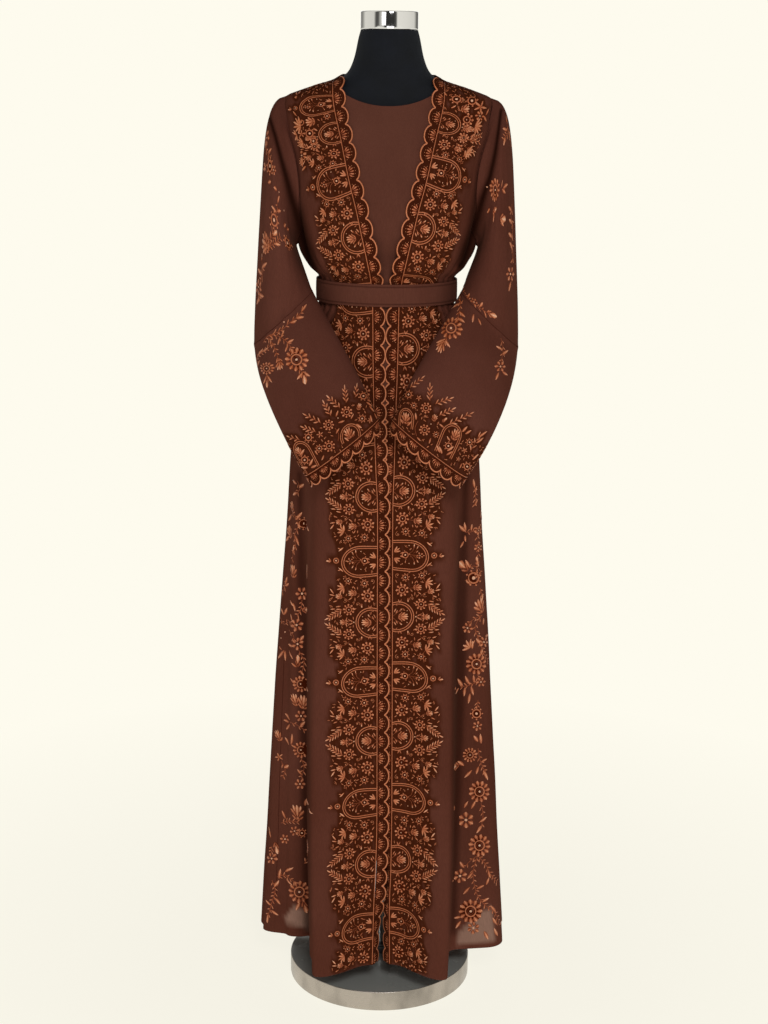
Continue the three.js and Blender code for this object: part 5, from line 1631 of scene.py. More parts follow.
def embroider_front(side):
    """The band along a front's edge: medallions open on the piping, with flowers and fronds between."""
    front = fronts[side]
    stitches = Stitches()
    rows = to_image(front.surface(0 * front.edge_t, front.edge_t)[0])[:, 1]
    down = lambda pixel: float(np.interp(pixel, rows, front.edge_t))
    large, small = ([down(p) for p in MEDALLION_ROWS[side][key]] for key in ("large", "small"))
    last = front.edge_t[-1]
    pen = Pen(stitches)
    squash = {m: k for rows, keys in ((large, TOP_SQUASH[side][0]), (small, TOP_SQUASH[side][1])) for m,
        k in zip(rows, keys)}
    for middle in large:
        cell = pen.at(1.4, middle)
        cell.axes = np.diag([1, squash.get(middle, 1)])
        if squash.get(middle, 1) > 0:
            large_medallion(cell)
        for way in (-1, 1):
            beyond = [s for s in small if (s - middle) * way > 0] or [middle + HALF_CELL] * (way > 0)
            reach = min([abs(s - middle) for s in beyond], default=0)
            if reach < 70:
                continue
            cell = pen.at(1.4, middle)
            cell.axes = np.diag([1, way * reach / HALF_CELL])
            half_cell(cell)
    for middle in small:
        cell = pen.at(1.4, middle)
        cell.axes = np.diag([1, squash.get(middle, 1)])
        small_medallion(cell)
    strewn = Stitches()
    embroider(strewn, front.surface, SHOULDER_MOTIFS[side], (2, 130), (2, 260))

    def clear(xy):
        d, t = xy.mean(0)
        beside = lambda rows, reach: any(abs(t - m) < 29 * squash.get(m, 1) and d < reach for m in rows)
        return not beside(large, 64) and not beside(small, 40)

    strewn.keep(clear)
    stitches.parts += strewn.parts
    near = near_cloth(front.piece, front.surface)
    stitches.keep(lambda xy: xy[:, 1].max() < last - 1 and front.holds(*front.place(*xy.T)) and near(xy))
    line = np.arange(1.0, last - 1, 3.0)
    pen.ribbon(np.stack([0.9 + 0 * line, line], -1), 1.6, 0.64)
    nearest = lambda t: np.abs(np.array(large) - t).min()
    fill(stitches, (4, 88), (12, last - 4), lambda d, t: d < 60 + 22 * smooth(18, 55, nearest(t)))
    stitches.keep(lambda xy: np.ptp(xy[:, 1]) > 200 or near(xy))
    return stitches


def fan(pen):
    """A half flower that fills one scallop, its petals growing from the piping."""
    pen.pad(3, 0, 9)
    for k in (0, 4, 1, 3, 2):
        off = k - 2
        pen.petal(0.8, 1.5 * off, 24 * off, 10.4 - 0.5 * off * off, 3.3, 0.56 + 0.03 * (k % 2), 0.64)
    for k in range(7):
        a = math.radians(27 * (k - 3))
        pen.dot(1.6 + 11.2 * math.cos(a), 11.0 * math.sin(a), 0.7, 0.7)


def embroider_scallops(total, pitch, closed):
    """The band's outline and a fan in each scallop; x runs out from the piping and y along it."""
    stitches = Stitches()
    pen = Pen(stitches)
    step = pitch / 24
    for m in range(int(total / pitch + 0.5)):
        cell = pen.at(0, (m + 0.5) * pitch)
        cell.axes = np.diag([1, min(1, pitch / SCALLOP["pitch"] * 0.98)])
        fan(cell)
    if not closed:
        stitches.keep(lambda xy: xy[:, 1].min() > 0.4 and xy[:, 1].max() < total - 0.4)
    t = np.arange(0, total - step / 2, step) if closed else np.arange(0.6, total - 0.6, step)
    w = scallop_width(t / pitch * SCALLOP["pitch"]) - 1.4
    pen.ribbon(np.stack([w, t], -1), 2.5, 0.7, closed)
    return stitches


# kind, size in mm, then the pixels where it shows: a middle, a root and a tip, or a stem's points
SLEEVE_SPRAYS = {
    ("upper", -1): (
        ("flower", 7, 266.5, 138), ("stem", 1, 266, 146, 267.5, 153, 271, 159),
        ("bud", 0, 266, 150, 266, 143),
        ("leaf", 0, 268, 153, 272, 148), ("ring", 7.5, 270, 166), ("flower", 4.5, 273.5, 170),
        ("leaf", 0, 266, 167, 261, 165),
        ("leaf", 0, 266, 169, 261, 173), ("leaf", 0, 268, 183, 272, 180), ("leaf", 0, 277, 190, 273, 186),
        ("dot", 1.4, 279, 192), ("leaf", 0, 277.5, 203, 279, 196),
        ("stem", 1, 277.6, 202, 277, 210, 275, 216),
        ("leaf", 0, 276.6, 212, 272, 206), ("leaf", 0, 277, 212, 283, 206), ("dot", 1.5, 284, 210.5),
        ("ring", 8, 274, 220),
        ("leaf", 0, 284, 227, 287, 220), ("leaf", 0, 287, 230, 290, 225),
        ("stem", 1, 266, 247, 274, 244, 280.5, 237, 287, 229),
        ("stem", 1, 268, 242, 272, 236, 273, 230), ("bud", 0, 272, 238, 276, 232),
        ("leaf", 0, 268, 240, 266, 234),
        ("tulip", 0, 270, 247, 263, 241), ("flower", 4.5, 266, 249), ("ring", 8, 287.5, 243),
        ("leaf", 0, 291, 245, 294, 249),
        ("leaf", 0, 274, 244, 280, 244), ("stem", 1, 262, 262, 263, 272, 260, 282),
        ("leaf", 0, 262, 268, 267, 264),
        ("leaf", 0, 262, 274, 257, 269), ("flower", 6, 258.5, 287), ("stem", 0.9, 259, 290, 260, 298),
        ("leaf", 0, 259, 294, 264, 298), ("leaf", 0, 260, 297, 257, 303), ("bud", 0, 262, 262, 262, 255),
    ),
    ("lower", -1): (
        ("stem", 1, 263, 343, 268, 336, 283, 329, 290, 322.5, 298, 316, 304, 309),
        ("leaf", 0, 290, 323, 296, 321), ("leaf", 0, 296, 318, 303, 317), ("leaf", 0, 298, 316, 297, 309),
        ("leaf", 0, 301, 312, 306, 305), ("leaf", 0, 283, 329, 282, 322), ("dot", 1.3, 284, 322),
        ("stem", 1, 269, 335, 278, 336, 286, 341, 292, 349, 294, 354), ("leaf", 0, 281, 337, 284, 331),
        ("leaf", 0, 280, 337, 278, 344), ("leaf", 0, 287, 343, 293, 340), ("leaf", 0, 288, 344, 286, 351),
        ("stem", 0.9, 268, 336, 274, 346, 277, 355, 279, 361), ("tulip", 0, 279, 359, 280, 368),
        ("sunflower", 14.5, 296.4, 359.6), ("stem", 0.9, 299, 368, 303, 373),
        ("leaf", 0, 303, 372, 298, 379),
        ("leaf", 0, 303, 372, 309, 376), ("bud", 0, 303, 371, 305, 382), ("leaf", 0, 258, 356, 262, 349),
        ("leaf", 0, 262, 352, 268, 348), ("leaf", 0, 260, 360, 257, 366),
        ("stem", 0.9, 256, 362, 260, 354, 268, 348, 272, 343),
        ("sunflower", 9, 266.5, 368.5), ("leaf", 0, 267, 375, 264, 383), ("leaf", 0, 267, 375, 271, 382),
        ("bud", 0, 267, 377, 267, 386),
    ),
    ("upper", 1): (
        ("stem", 1, 506.8, 122, 507.5, 133, 503, 140), ("stem", 1, 507.5, 133, 511, 142),
        ("leaf", 0, 507, 131, 503, 128),
        ("leaf", 0, 505, 137, 504, 145), ("leaf", 0, 507, 124, 506, 116), ("leaf", 0, 509, 137, 512, 132),
        ("dot", 1.4, 487, 187), ("sunflower", 10.5, 495.3, 190), ("stem", 0.9, 500, 188, 504, 187),
        ("leaf", 0, 501, 188, 502.5, 181.5), ("leaf", 0, 503, 188, 510, 184),
        ("leaf", 0, 502, 189, 507, 194),
        ("stem", 1, 485.5, 206, 492, 210, 496, 216, 504, 219.5), ("bud", 0, 493, 212, 498, 208),
        ("leaf", 0, 494, 213, 493.5, 221),
        ("leaf", 0, 490, 209, 486, 213), ("bud", 0, 500, 218, 507, 221), ("leaf", 0, 500, 218, 503, 225),
        ("stem", 1, 512, 204, 511, 216, 513, 228, 511, 240, 513, 252, 512, 264),
        ("leaf", 0, 511.5, 212, 509, 206),
        ("leaf", 0, 512, 224, 509.5, 219), ("leaf", 0, 512, 238, 509, 233),
        ("leaf", 0, 512.5, 250, 510, 244),
        ("flower", 6, 510.5, 274), ("leaf", 0, 511, 281, 509, 290),
        ("stem", 1, 462, 284, 465, 294, 471, 301, 480, 308, 490, 314),
        ("leaf", 0, 467, 298, 471, 292), ("leaf", 0, 479, 307, 484, 303), ("bud", 0, 487, 312, 495, 316),
        ("leaf", 0, 484, 310, 486, 317), ("flower", 5, 474, 302),
    ),
    ("lower", 1): (
        ("stem", 1, 460.5, 299, 460, 309, 457, 320), ("leaf", 0, 460, 304, 452, 308),
        ("leaf", 0, 459, 311, 464, 317),
        ("tulip", 0, 461, 304, 461, 296), ("leaf", 0, 458, 318, 464, 321), ("sunflower", 13, 451, 328),
        ("curl", 7, 451, 328),
        ("stem", 0.9, 447, 337, 444, 343), ("tulip", 0, 444, 340, 439, 350),
        ("leaf", 0, 445, 340, 449, 347),
        ("leaf", 0, 444, 340, 437, 343), ("leaf", 0, 478, 318, 481, 324), ("leaf", 0, 474, 314, 472, 321),
        ("stem", 0.9, 501, 338, 503, 350, 501, 362), ("leaf", 0, 502, 344, 508, 339),
        ("leaf", 0, 502, 350, 497, 346),
        ("leaf", 0, 502, 354, 508, 351), ("flower", 7, 500.5, 366.5), ("leaf", 0, 502, 371, 507, 375),
        ("leaf", 0, 499, 372, 496, 379),
    ),
}
CUFF_MOTIFS = {
    -1: (
        ("arch", 17.5, 351.5, 440, 348, 424.6), ("tulip", 0, 351, 438, 346.5, 429),
        ("bud", 0, 353, 437, 354, 431),
        ("leaf", 0, 349, 441, 345, 438), ("arch", 17, 312.4, 470.5, 296.8, 442.2),
        ("ring", 6.4, 304.6, 460),
        ("tulip", 0, 302, 456, 296.5, 448), ("leaf", 0, 309, 466, 313, 460),
        ("leaf", 0, 308, 467, 302, 468),
        ("leaf", 0, 311, 468, 316, 465), ("leaf", 0, 300, 455, 304, 450), ("sunburst", 8.2, 346.7, 412),
        ("sunburst", 7.8, 328.5, 425),
        ("ring", 6.8, 308.4, 437.6), ("sunburst", 8.2, 329.2, 446), ("tulip", 0, 358, 410, 360, 403.5),
        ("ring", 6, 362.2, 418.5),
        ("ring", 6.8, 363.5, 396), ("leaf", 0, 366, 402, 372, 406), ("leaf", 0, 367, 400, 373, 401),
        ("leaf", 0, 369, 406, 374, 411),
        ("frond", 3, 346, 403, 344.5, 386), ("frond", 2, 355, 398, 357, 384),
        ("frond", 3, 340, 408, 327, 396),
        ("frond", 3, 331, 416, 323, 401), ("frond", 3, 321, 423, 303.5, 414),
        ("frond", 3, 316, 432, 301, 426.5),
        ("frond", 2, 300, 440, 287, 436), ("leaf", 0, 336, 417, 337.5, 411),
        ("leaf", 0, 338, 423, 344, 421),
        ("star", 7, 320, 434.5), ("ring", 5.4, 319.2, 448.5), ("leaf", 0, 318, 455, 315, 451),
        ("leaf", 0, 336, 434, 338.5, 428.5),
        ("stem", 0.9, 335, 428, 338.6, 434, 338, 441), ("leaf", 0, 324, 455, 322, 460),
        ("leaf", 0, 356, 424, 361, 428),
        ("leaf", 0, 370, 415, 372, 421), ("leaf", 0, 374, 413, 377, 418), ("leaf", 0, 351, 419, 353, 414),
        ("star", 6, 370, 420.5),
        ("star", 6, 341, 452), ("leaf", 0, 366, 425, 369, 429), ("dot", 1.1, 338, 418),
        ("leaf", 0, 333, 456, 330, 459),
    ),
    1: (
        ("arch", 14, 405.4, 427.6, 406.6, 408.5), ("tulip", 0, 405.2, 424, 406.2, 413),
        ("leaf", 0, 403, 424, 400.5, 419),
        ("leaf", 0, 407, 426, 411, 422), ("arch", 16.6, 443, 455, 455.6, 424.6), ("ring", 6.4, 448.4, 446),
        ("tulip", 0, 453, 440, 457.5, 430), ("leaf", 0, 440, 453, 437, 446),
        ("leaf", 0, 442, 454, 440, 447), ("leaf", 0, 446, 455, 452, 452),
        ("leaf", 0, 447, 451, 453, 447), ("leaf", 0, 450, 441, 447, 437), ("ring", 6.6, 408.4, 394.5),
        ("sunburst", 8, 426, 408),
        ("sunburst", 8, 424.6, 430), ("tulip", 0, 433, 421, 436, 415), ("ring", 5, 413.8, 405.4),
        ("star", 6, 418.8, 398),
        ("bud", 0, 442, 422, 447, 418), ("ring", 5.6, 469.6, 442.3), ("frond", 3, 410, 388, 424, 376.5),
        ("frond", 3, 430, 401, 430, 383.5),
        ("frond", 3, 435, 404, 453, 397.5), ("frond", 3, 439, 415.5, 455, 408),
        ("frond", 4, 449, 424, 473, 412.5),
        ("leaf", 0, 398, 408, 394, 403), ("leaf", 0, 401, 403, 398, 397), ("star", 5, 396.5, 411),
        ("leaf", 0, 416, 420, 416, 413.5),
        ("stem", 0.9, 416.5, 436, 415, 428, 418, 421), ("ring", 4.6, 436, 434.5),
        ("leaf", 0, 431, 438, 429, 443), ("star", 6, 464.6, 450.5),
        ("frond", 2, 470, 452, 480, 433), ("leaf", 0, 476, 443, 483, 439), ("leaf", 0, 478, 438, 486, 431),
        ("star", 5, 458.3, 459),
        ("ring", 6, 467.2, 466.6), ("leaf", 0, 472, 460, 478, 455), ("leaf", 0, 462, 463, 460, 468),
        ("leaf", 0, 462, 432, 467, 427),
        ("leaf", 0, 465, 434, 471, 431), ("dot", 1.1, 431, 424), ("leaf", 0, 444, 428, 440, 424),
        ("leaf", 0, 417, 437, 420, 441),
    ),
}
SIDE_VINES = {
    -1: (
        ("stem", 1, 297.5, 481, 300, 488, 296.5, 494), ("leaf", 0, 297, 484, 293, 480),
        ("leaf", 0, 299, 488, 303, 484),
        ("leaf", 0, 297, 492, 293, 496), ("tulip", 0, 293, 512, 292, 504), ("leaf", 0, 296, 520, 301, 513),
        ("leaf", 0, 292, 514, 289, 520),
        ("stem", 0.9, 292, 511, 297, 518, 298, 527, 294, 536), ("leaf", 0, 297, 522, 300, 528),
        ("ring", 7, 304, 523.5),
        ("leaf", 0, 307, 527, 310, 531), ("tulip", 0, 291.5, 538, 289, 529),
        ("leaf", 0, 289, 536, 286.5, 541), ("leaf", 0, 295, 535, 299, 544),
        ("stem", 0.9, 294, 536, 296, 543, 293, 553), ("bud", 0, 293, 554, 293.5, 548),
        ("stem", 0.8, 293, 554, 292, 562, 293, 568),
        ("tulip", 0, 293.5, 578, 292.5, 568), ("bud", 0, 307, 579, 307, 568),
        ("leaf", 0, 285, 585, 287, 578), ("leaf", 0, 285, 586, 289, 584),
        ("stem", 0.8, 287, 580, 284, 588, 282, 594), ("flower", 7.5, 302, 593.6), ("dot", 1.6, 302, 593.6),
        ("stem", 0.9, 302, 600, 301, 609, 297, 616), ("leaf", 0, 290, 600, 293, 606),
        ("leaf", 0, 293, 603, 295.5, 610),
        ("bud", 0, 302, 611, 308, 608), ("leaf", 0, 284, 615, 281.5, 609), ("leaf", 0, 284, 615, 287, 609),
        ("stem", 0.9, 280.5, 617, 284, 624, 288, 622), ("stem", 0.9, 288, 620, 292, 624, 295, 626),
        ("flower", 7.5, 296.5, 625),
        ("leaf", 0, 292, 621, 291, 615), ("dot", 1.3, 285, 632), ("dot", 1.3, 281, 638),
        ("stem", 0.9, 289, 630, 293, 635, 294.5, 642),
        ("flower", 7, 297.5, 644), ("leaf", 0, 300, 641, 303, 636),
        ("stem", 0.9, 308, 633, 304, 637, 302, 641),
        ("leaf", 0, 293, 646, 288, 645), ("stem", 0.95, 298.6, 650, 303.5, 659, 304, 664, 301.4, 674),
        ("stem", 0.9, 308, 660, 304.5, 664),
        ("leaf", 0, 284, 650, 279, 658), ("leaf", 0, 285, 650, 285, 659), ("leaf", 0, 289, 650, 292, 658),
        ("leaf", 0, 282, 650, 279.5, 647),
        ("bud", 0, 298, 667, 297.8, 658), ("leaf", 0, 297, 667, 292, 664), ("leaf", 0, 300, 670, 303, 675),
        ("sunflower", 9.5, 300.7, 684),
        ("leaf", 0, 295, 684, 291, 679), ("leaf", 0, 306, 688, 309, 692), ("tulip", 0, 297, 706, 294, 697),
        ("tulip", 0, 303, 709, 304, 699),
        ("flower", 6.5, 301, 716), ("leaf", 0, 290, 720, 286, 714), ("leaf", 0, 289, 722, 284, 721),
        ("leaf", 0, 290, 724, 287, 730),
        ("stem", 0.95, 290, 722, 297, 725, 306, 731), ("leaf", 0, 300, 727, 304, 722),
        ("tulip", 0, 281, 741, 277, 733),
        ("leaf", 0, 291, 745, 293, 736), ("leaf", 0, 289, 745, 286, 738), ("sunflower", 9.5, 301, 750),
        ("leaf", 0, 296, 748, 292, 745),
        ("star", 9, 279, 757), ("stem", 0.9, 281, 761, 285, 769, 283, 778), ("leaf", 0, 284, 768, 289, 765),
        ("stem", 0.9, 301, 757, 304, 768, 301, 779),
        ("leaf", 0, 303, 766, 308, 762), ("leaf", 0, 302, 775, 298, 770), ("flower", 6, 300, 784),
        ("leaf", 0, 306, 801, 310, 808),
        ("leaf", 0, 309, 808, 313, 815), ("leaf", 0, 305, 806, 306, 799), ("tulip", 0, 298, 820, 297, 809),
        ("leaf", 0, 286, 819, 282, 812),
        ("stem", 0.95, 281, 823, 290, 821, 299, 822, 307, 819), ("flower", 5.5, 294.5, 831),
        ("ring", 5.5, 302, 833), ("flower", 5.5, 285, 839),
        ("sunflower", 8.5, 307, 846), ("leaf", 0, 271, 838, 269, 828), ("leaf", 0, 270, 835, 265, 832),
        ("bud", 0, 275, 842, 277, 851),
        ("flower", 6.5, 271.6, 858.5), ("stem", 0.9, 272, 846, 271, 852), ("frond", 2, 304, 864, 311, 853),
        ("leaf", 0, 279, 879, 280, 870),
        ("leaf", 0, 285, 872, 292, 867), ("leaf", 0, 286, 878, 291, 884),
        ("stem", 0.95, 277, 877, 285, 875, 292, 880, 296, 884),
        ("sunflower", 13.5, 299.3, 892), ("bud", 0, 303, 901, 306, 910), ("leaf", 0, 300, 902, 296, 909),
        ("stem", 1, 272, 880, 275, 890, 272, 902, 268, 916), ("leaf", 0, 274, 887, 279, 882),
        ("leaf", 0, 275, 898, 280, 903),
        ("leaf", 0, 271, 905, 266, 901), ("leaf", 0, 271, 910, 277, 915), ("leaf", 0, 268, 914, 264, 921),
        ("seam", 0.9, 284, 660, 281, 740, 278.5, 820, 276.5, 895),
    ),
    1: (
        ("leaf", 0, 474.5, 488, 474, 480), ("leaf", 0, 475, 494, 476.5, 487),
        ("stem", 0.8, 474.5, 486, 475.5, 496, 474.5, 506),
        ("dot", 1.2, 475, 500), ("leaf", 0, 474.5, 506, 477, 500),
        ("stem", 1, 481, 510, 476, 516.5, 477.5, 533, 478.6, 545, 478, 557),
        ("leaf", 0, 480, 518, 481, 511), ("leaf", 0, 466, 532, 460, 526), ("leaf", 0, 466, 531, 464, 524),
        ("leaf", 0, 465, 535, 465, 541),
        ("leaf", 0, 464, 541, 461, 547), ("stem", 0.9, 465, 532, 470, 532, 476, 530),
        ("leaf", 0, 471, 531, 472, 525),
        ("flower", 5, 478.6, 530.5), ("flower", 5, 478.6, 547.5), ("leaf", 0, 477, 560, 478, 566),
        ("bud", 0, 478, 566, 477, 559),
        ("stem", 0.9, 467, 570, 473, 566, 479, 569, 481, 574), ("bud", 0, 468, 571, 461, 564),
        ("leaf", 0, 470, 568, 466, 561),
        ("ring", 9, 473.6, 578), ("flower", 4, 478, 575), ("leaf", 0, 470, 584, 467, 581),
        ("bud", 0, 481, 606, 482.5, 597),
        ("tulip", 0, 482, 613, 479, 603), ("stem", 0.8, 480, 588, 482, 596),
        ("stem", 0.95, 482, 615, 477, 622, 475, 629, 478.6, 638.5, 481, 646, 484, 654, 488, 661),
        ("stem", 0.9, 482, 615, 488, 622), ("stem", 0.9, 482, 615, 474, 619, 468, 624),
        ("flower", 6, 467.5, 628), ("leaf", 0, 483, 625, 484, 619),
        ("dot", 1.3, 479.3, 633.6), ("leaf", 0, 485, 636, 488, 632), ("tuft", 9, 470, 648, 466, 640),
        ("leaf", 0, 472, 649, 473, 642),
        ("flower", 6, 484, 642), ("leaf", 0, 480, 644, 477, 639), ("sunflower", 12.5, 476.6, 664),
        ("leaf", 0, 480, 656, 483, 650),
        ("stem", 0.95, 477, 673, 478.5, 680, 470, 685, 460, 687, 452, 690), ("leaf", 0, 470, 685, 465, 678),
        ("leaf", 0, 463, 686, 458, 680),
        ("leaf", 0, 456, 688, 451, 691), ("leaf", 0, 465, 687, 464, 695), ("leaf", 0, 459, 688, 456, 694),
        ("leaf", 0, 474, 683, 474, 676),
        ("leaf", 0, 471, 686, 473, 694), ("leaf", 0, 470, 693, 469, 702), ("flower", 5.5, 481, 682),
        ("ring", 7, 476.5, 713.6),
        ("flower", 5.5, 477.4, 726), ("stem", 0.9, 478, 700, 477, 707), ("leaf", 0, 481, 744, 481, 735),
        ("leaf", 0, 478, 742, 475, 736),
        ("sunflower", 8.5, 470, 755), ("leaf", 0, 464, 766, 459, 761), ("bud", 0, 459, 766, 452, 771),
        ("stem", 0.9, 478, 748, 480, 760, 485, 772),
        ("leaf", 0, 479, 766, 476, 773), ("leaf", 0, 472, 770, 466, 777), ("leaf", 0, 483, 770, 488, 778),
        ("leaf", 0, 481, 762, 486, 759),
        ("sunflower", 12.5, 479.5, 791.6), ("leaf", 0, 455, 808, 451, 801), ("leaf", 0, 455, 809, 450, 816),
        ("stem", 0.9, 451, 806, 460, 808, 470, 809),
        ("leaf", 0, 471, 809, 475, 802), ("leaf", 0, 464, 808, 467, 802), ("flower", 9, 466, 820),
        ("leaf", 0, 480, 822, 486, 818),
        ("stem", 0.9, 481, 803, 483, 815, 481, 828), ("leaf", 0, 482, 826, 477, 832),
        ("sunflower", 13, 479.5, 845.5),
        ("stem", 0.95, 477, 856, 470, 861, 464, 868), ("flower", 8, 460, 876),
        ("stem", 0.95, 477.5, 856, 473, 872, 475, 888, 479, 898, 486, 906, 494, 911.5, 499, 922),
        ("stem", 0.95, 478, 856, 486, 865, 491, 875, 497, 882), ("leaf", 0, 464, 868, 460, 863),
        ("leaf", 0, 473, 872, 468, 878),
        ("leaf", 0, 454, 880, 450, 888), ("leaf", 0, 470, 887, 464, 893), ("leaf", 0, 488, 870, 490, 877),
        ("leaf", 0, 486, 885, 489, 879),
        ("leaf", 0, 476, 889, 483, 886), ("leaf", 0, 482, 902, 488, 898), ("sunflower", 14, 470.7, 911.3),
        ("flower", 7, 473.4, 928),
        ("leaf", 0, 461, 921, 456, 927), ("leaf", 0, 461, 917, 455, 918), ("leaf", 0, 496, 913, 492, 906),
        ("leaf", 0, 497, 925, 493, 919), ("leaf", 0, 498, 936, 494, 930), ("leaf", 0, 499, 925, 503, 919),
        ("leaf", 0, 484, 931, 488, 938),
    ),
}


def facing_axes(surface, root, most=1.7):
    """Axes that widen a motif where the cloth turns away, so that it still opens to the front."""
    shifts = np.array([(0, 0), (0.5, 0), (0, 0.5)])
    here, along, across = to_image(surface(*(root + shifts).T)[0])
    _, sizes, ways = np.linalg.svd(np.stack([along - here, across - here], -1))
    return ways.T @ np.diag(np.clip(sizes[0] / np.maximum(sizes, 1e-9), 1, most)) @ ways


def embroider(stitches, surface, rows, a_span, b_span, bold=1.0):
    """Draws motifs on a surface, each placed by the pixels that it shows at."""
    seen = np.array([p for row in rows for p in row[2:]], float).reshape(-1, 2)
    found = find(surface, seen, a_span, b_span)
    hit = np.hypot(*(to_image(surface(found[:, 0], found[:, 1])[0]) - seen).T) < 3
    pen = Pen(stitches)
    first = 0
    for kind, size, *pixels in rows:
        own = slice(first, first + len(pixels) // 2)
        first = own.stop
        spots, pixels = found[own][hit[own]], seen[own][hit[own]]
        if not hit[own][0] or len(spots) < min(2, own.stop - own.start):
            continue
        root = spots[0]
        own_pen = Pen(stitches, root, facing_axes(surface, root))
        reach = spots[-1] - root
        length = min(float(np.hypot(*reach)), 1.4 * PIXEL_SIZE * float(np.hypot(*(pixels[-1] - pixels[0]))))
        turn = math.degrees(math.atan2(reach[1], reach[0]))
        if kind == "stem":
            path = [0]
            for k in range(1, len(spots)):
                if np.hypot(*(spots[k] - spots[path[-1]])) < 2 * PIXEL_SIZE * np.hypot(*(pixels[k]
                        - pixels[path[-1]])) + 2:
                    path.append(k)
            if len(path) < 2:
                continue
            pen.stem(*spots[path], width=size * bold)
            if bold > 1.2:
                line = curve_through(spots[path], 8.0)
                for k, (a, b) in enumerate(zip(line[:-1], line[1:])):
                    way = math.degrees(math.atan2(*(b - a)[::-1]))
                    for swing in (44, -44):
                        pen.petal(*mix(a, b, 0.5 + 0.1 * np.sign(swing)), way + swing,
                            chance.uniform(6.5, 9), 2.5, 0.64)
        elif kind == "seam":
            pen.ribbon(curve_through(spots, 4.0), size, 0.04)
        elif kind == "leaf":
            wide = min(max(0.34 * length, 2.0), 4.2) * bold
            pen.petal(*root, turn, length * (0.9 + 0.2 * bold), wide, 0.68,
                bend=chance.uniform(-0.12, 0.12))
        elif kind in ("bud", "tulip"):
            getattr(pen, kind)(*root, turn, length * bold)
        elif kind == "frond":
            pen.frond(*root, turn, length, size, min(9.5, length * 0.42))
        elif kind == "tuft":
            pen.tuft(*root, turn, length, 5, 30)
        elif kind == "arch":
            pen.at(*root, turn).arch(length, size, 1.6, 3.1)
        elif kind == "sprig":
            pen.sprig(*root, turn, length)
        elif kind == "fan":
            pen.tuft(*root, turn, size, 6, 24)
        elif kind == "star":
            start = chance.uniform(0, 360)
            for k in range(5):
                own_pen.petal(0, 0, start + 72 * k, size * 0.8, size * 0.3, 0.66)
        elif kind == "dot":
            own_pen.dot(0, 0, size, 0.82)
        elif kind == "curl":
            own_pen.curl(0, 0, 0, size)
        elif kind == "ring":
            own_pen.ring_flower(0, 0, size * bold)
        else:
            getattr(own_pen, kind)(0, 0, size * bold)


def embroider_sleeve(side):
    """Sprays down a sleeve's front, and the cuff's band, which repeats round the back."""
    sleeve = sleeves[side]
    name = side_name(side)
    upper, lower = sleeve.charts["upper"], sleeve.charts["lower"]
    made = {}
    stitches = Stitches()
    embroider(stitches, upper.at, SLEEVE_SPRAYS["upper", side], (-170, 170), (4, upper.v[-1] - 2), 1.35)
    stitches.keep(lambda xy: xy[:, 1].min() > 3 and xy[:, 1].max() < upper.v[-1] - 1)
    seam = sleeve.grids["upper"][3][-1, sleeve.margin : sleeve.margin + sleeve.columns + 1]
    Pen(stitches).ribbon(np.stack([seam, upper.v[-1] - 0.9 + 0 * seam], -1), 0.9, 0.1)
    made["upper"] = stitches.build(f"sleeve_upper_{name}_embroidery", upper.at)
    stitches = Stitches()
    embroider(stitches, lower.at, CUFF_MOTIFS[side], (-110, 110), (-150, -1), 1.12)
    fill(stitches, (-0.25 * sleeve.cuff_total, 0.25 * sleeve.cuff_total), (-64, -4), lambda s, v: v > -54)
    stitches.repeat(np.array([sleeve.cuff_total / 2, 0]))
    embroider(stitches, lower.at, SLEEVE_SPRAYS["lower", side], (-130, 130), (lower.v[0] + 2, -30), 1.3)
    stitches.keep(lambda xy: xy[:, 1].min() > lower.v[0] + 1 and xy[:, 1].max() < -0.6)
    round_cuff = np.linspace(-0.25, 0.75, 121)[:-1] * sleeve.cuff_total
    Pen(stitches).ribbon(np.stack([round_cuff, -1.2 + 0 * round_cuff], -1), 1.4, 0.64)
    made["lower"] = stitches.build(f"sleeve_lower_{name}_embroidery", lower.at)
    stitches = embroider_scallops(sleeve.cuff_total, sleeve.cuff_pitch, True)
    made["cuff"] = stitches.build(f"cuff_{name}_embroidery", sleeve.cuff_chart.at)
    return made


def embroider_skirt(side):
    """The vine down a front's outer part, and the line of stitches over its hem."""
    front, name = fronts[side], side_name(side)
    stitches = Stitches()
    embroider(stitches, front.chart.at, SIDE_VINES[side], (60, 330), (300, front.v[-1] - 2), 1.45)
    hem = np.arange(EDGE[name](CLOTH["hem"]) + 4, front.s[-1].max() - 3, 4.0)
    Pen(stitches).ribbon(np.stack([hem, front.v[-1] - 10 + 0 * hem], -1), 0.9, 0.3)
    stitches.keep(lambda xy: xy[:, 1].max() < front.v[-1] - 3 and front.holds(*xy.T))
    return stitches.build(f"front_{name}_vine", front.chart.at)


embroidery = {}
for side in (1, -1):
    name = side_name(side)
    embroidery["front", side] = [embroider_front(side).build(f"front_{name}_band", fronts[side].surface),
        embroider_skirt(side)]
    edge = borders[side].t[-1]
    embroidery["border", side] = [embroider_scallops(edge, SCALLOP["pitch"], False).build(
        f"border_{name}_embroidery", borders[side].surface)]
    for key, piece in embroider_sleeve(side).items():
        embroidery[key, side] = [piece]


def paint_shade_near_stitches(cloth, stitched):
    """Paints shade into the cloth close to dense stitches, where threads shade it."""
    places = [vertex.co.copy() for piece in stitched for vertex in piece.data.vertices]
    tree = KDTree(len(places))
    for k, place in enumerate(places):
        tree.insert(place, k)
    tree.balance()
    away = np.array([tree.find(vertex.co)[2] for vertex in cloth.data.vertices])
    shade_and_stitching = cloth.data.attributes["shade_and_stitching"].data
    band = np.empty(len(away), np.float32)
    shade_and_stitching.foreach_get("value", band)
    shade_and_stitching.foreach_set("value", band * smooth(0.0065, 0.002, away))


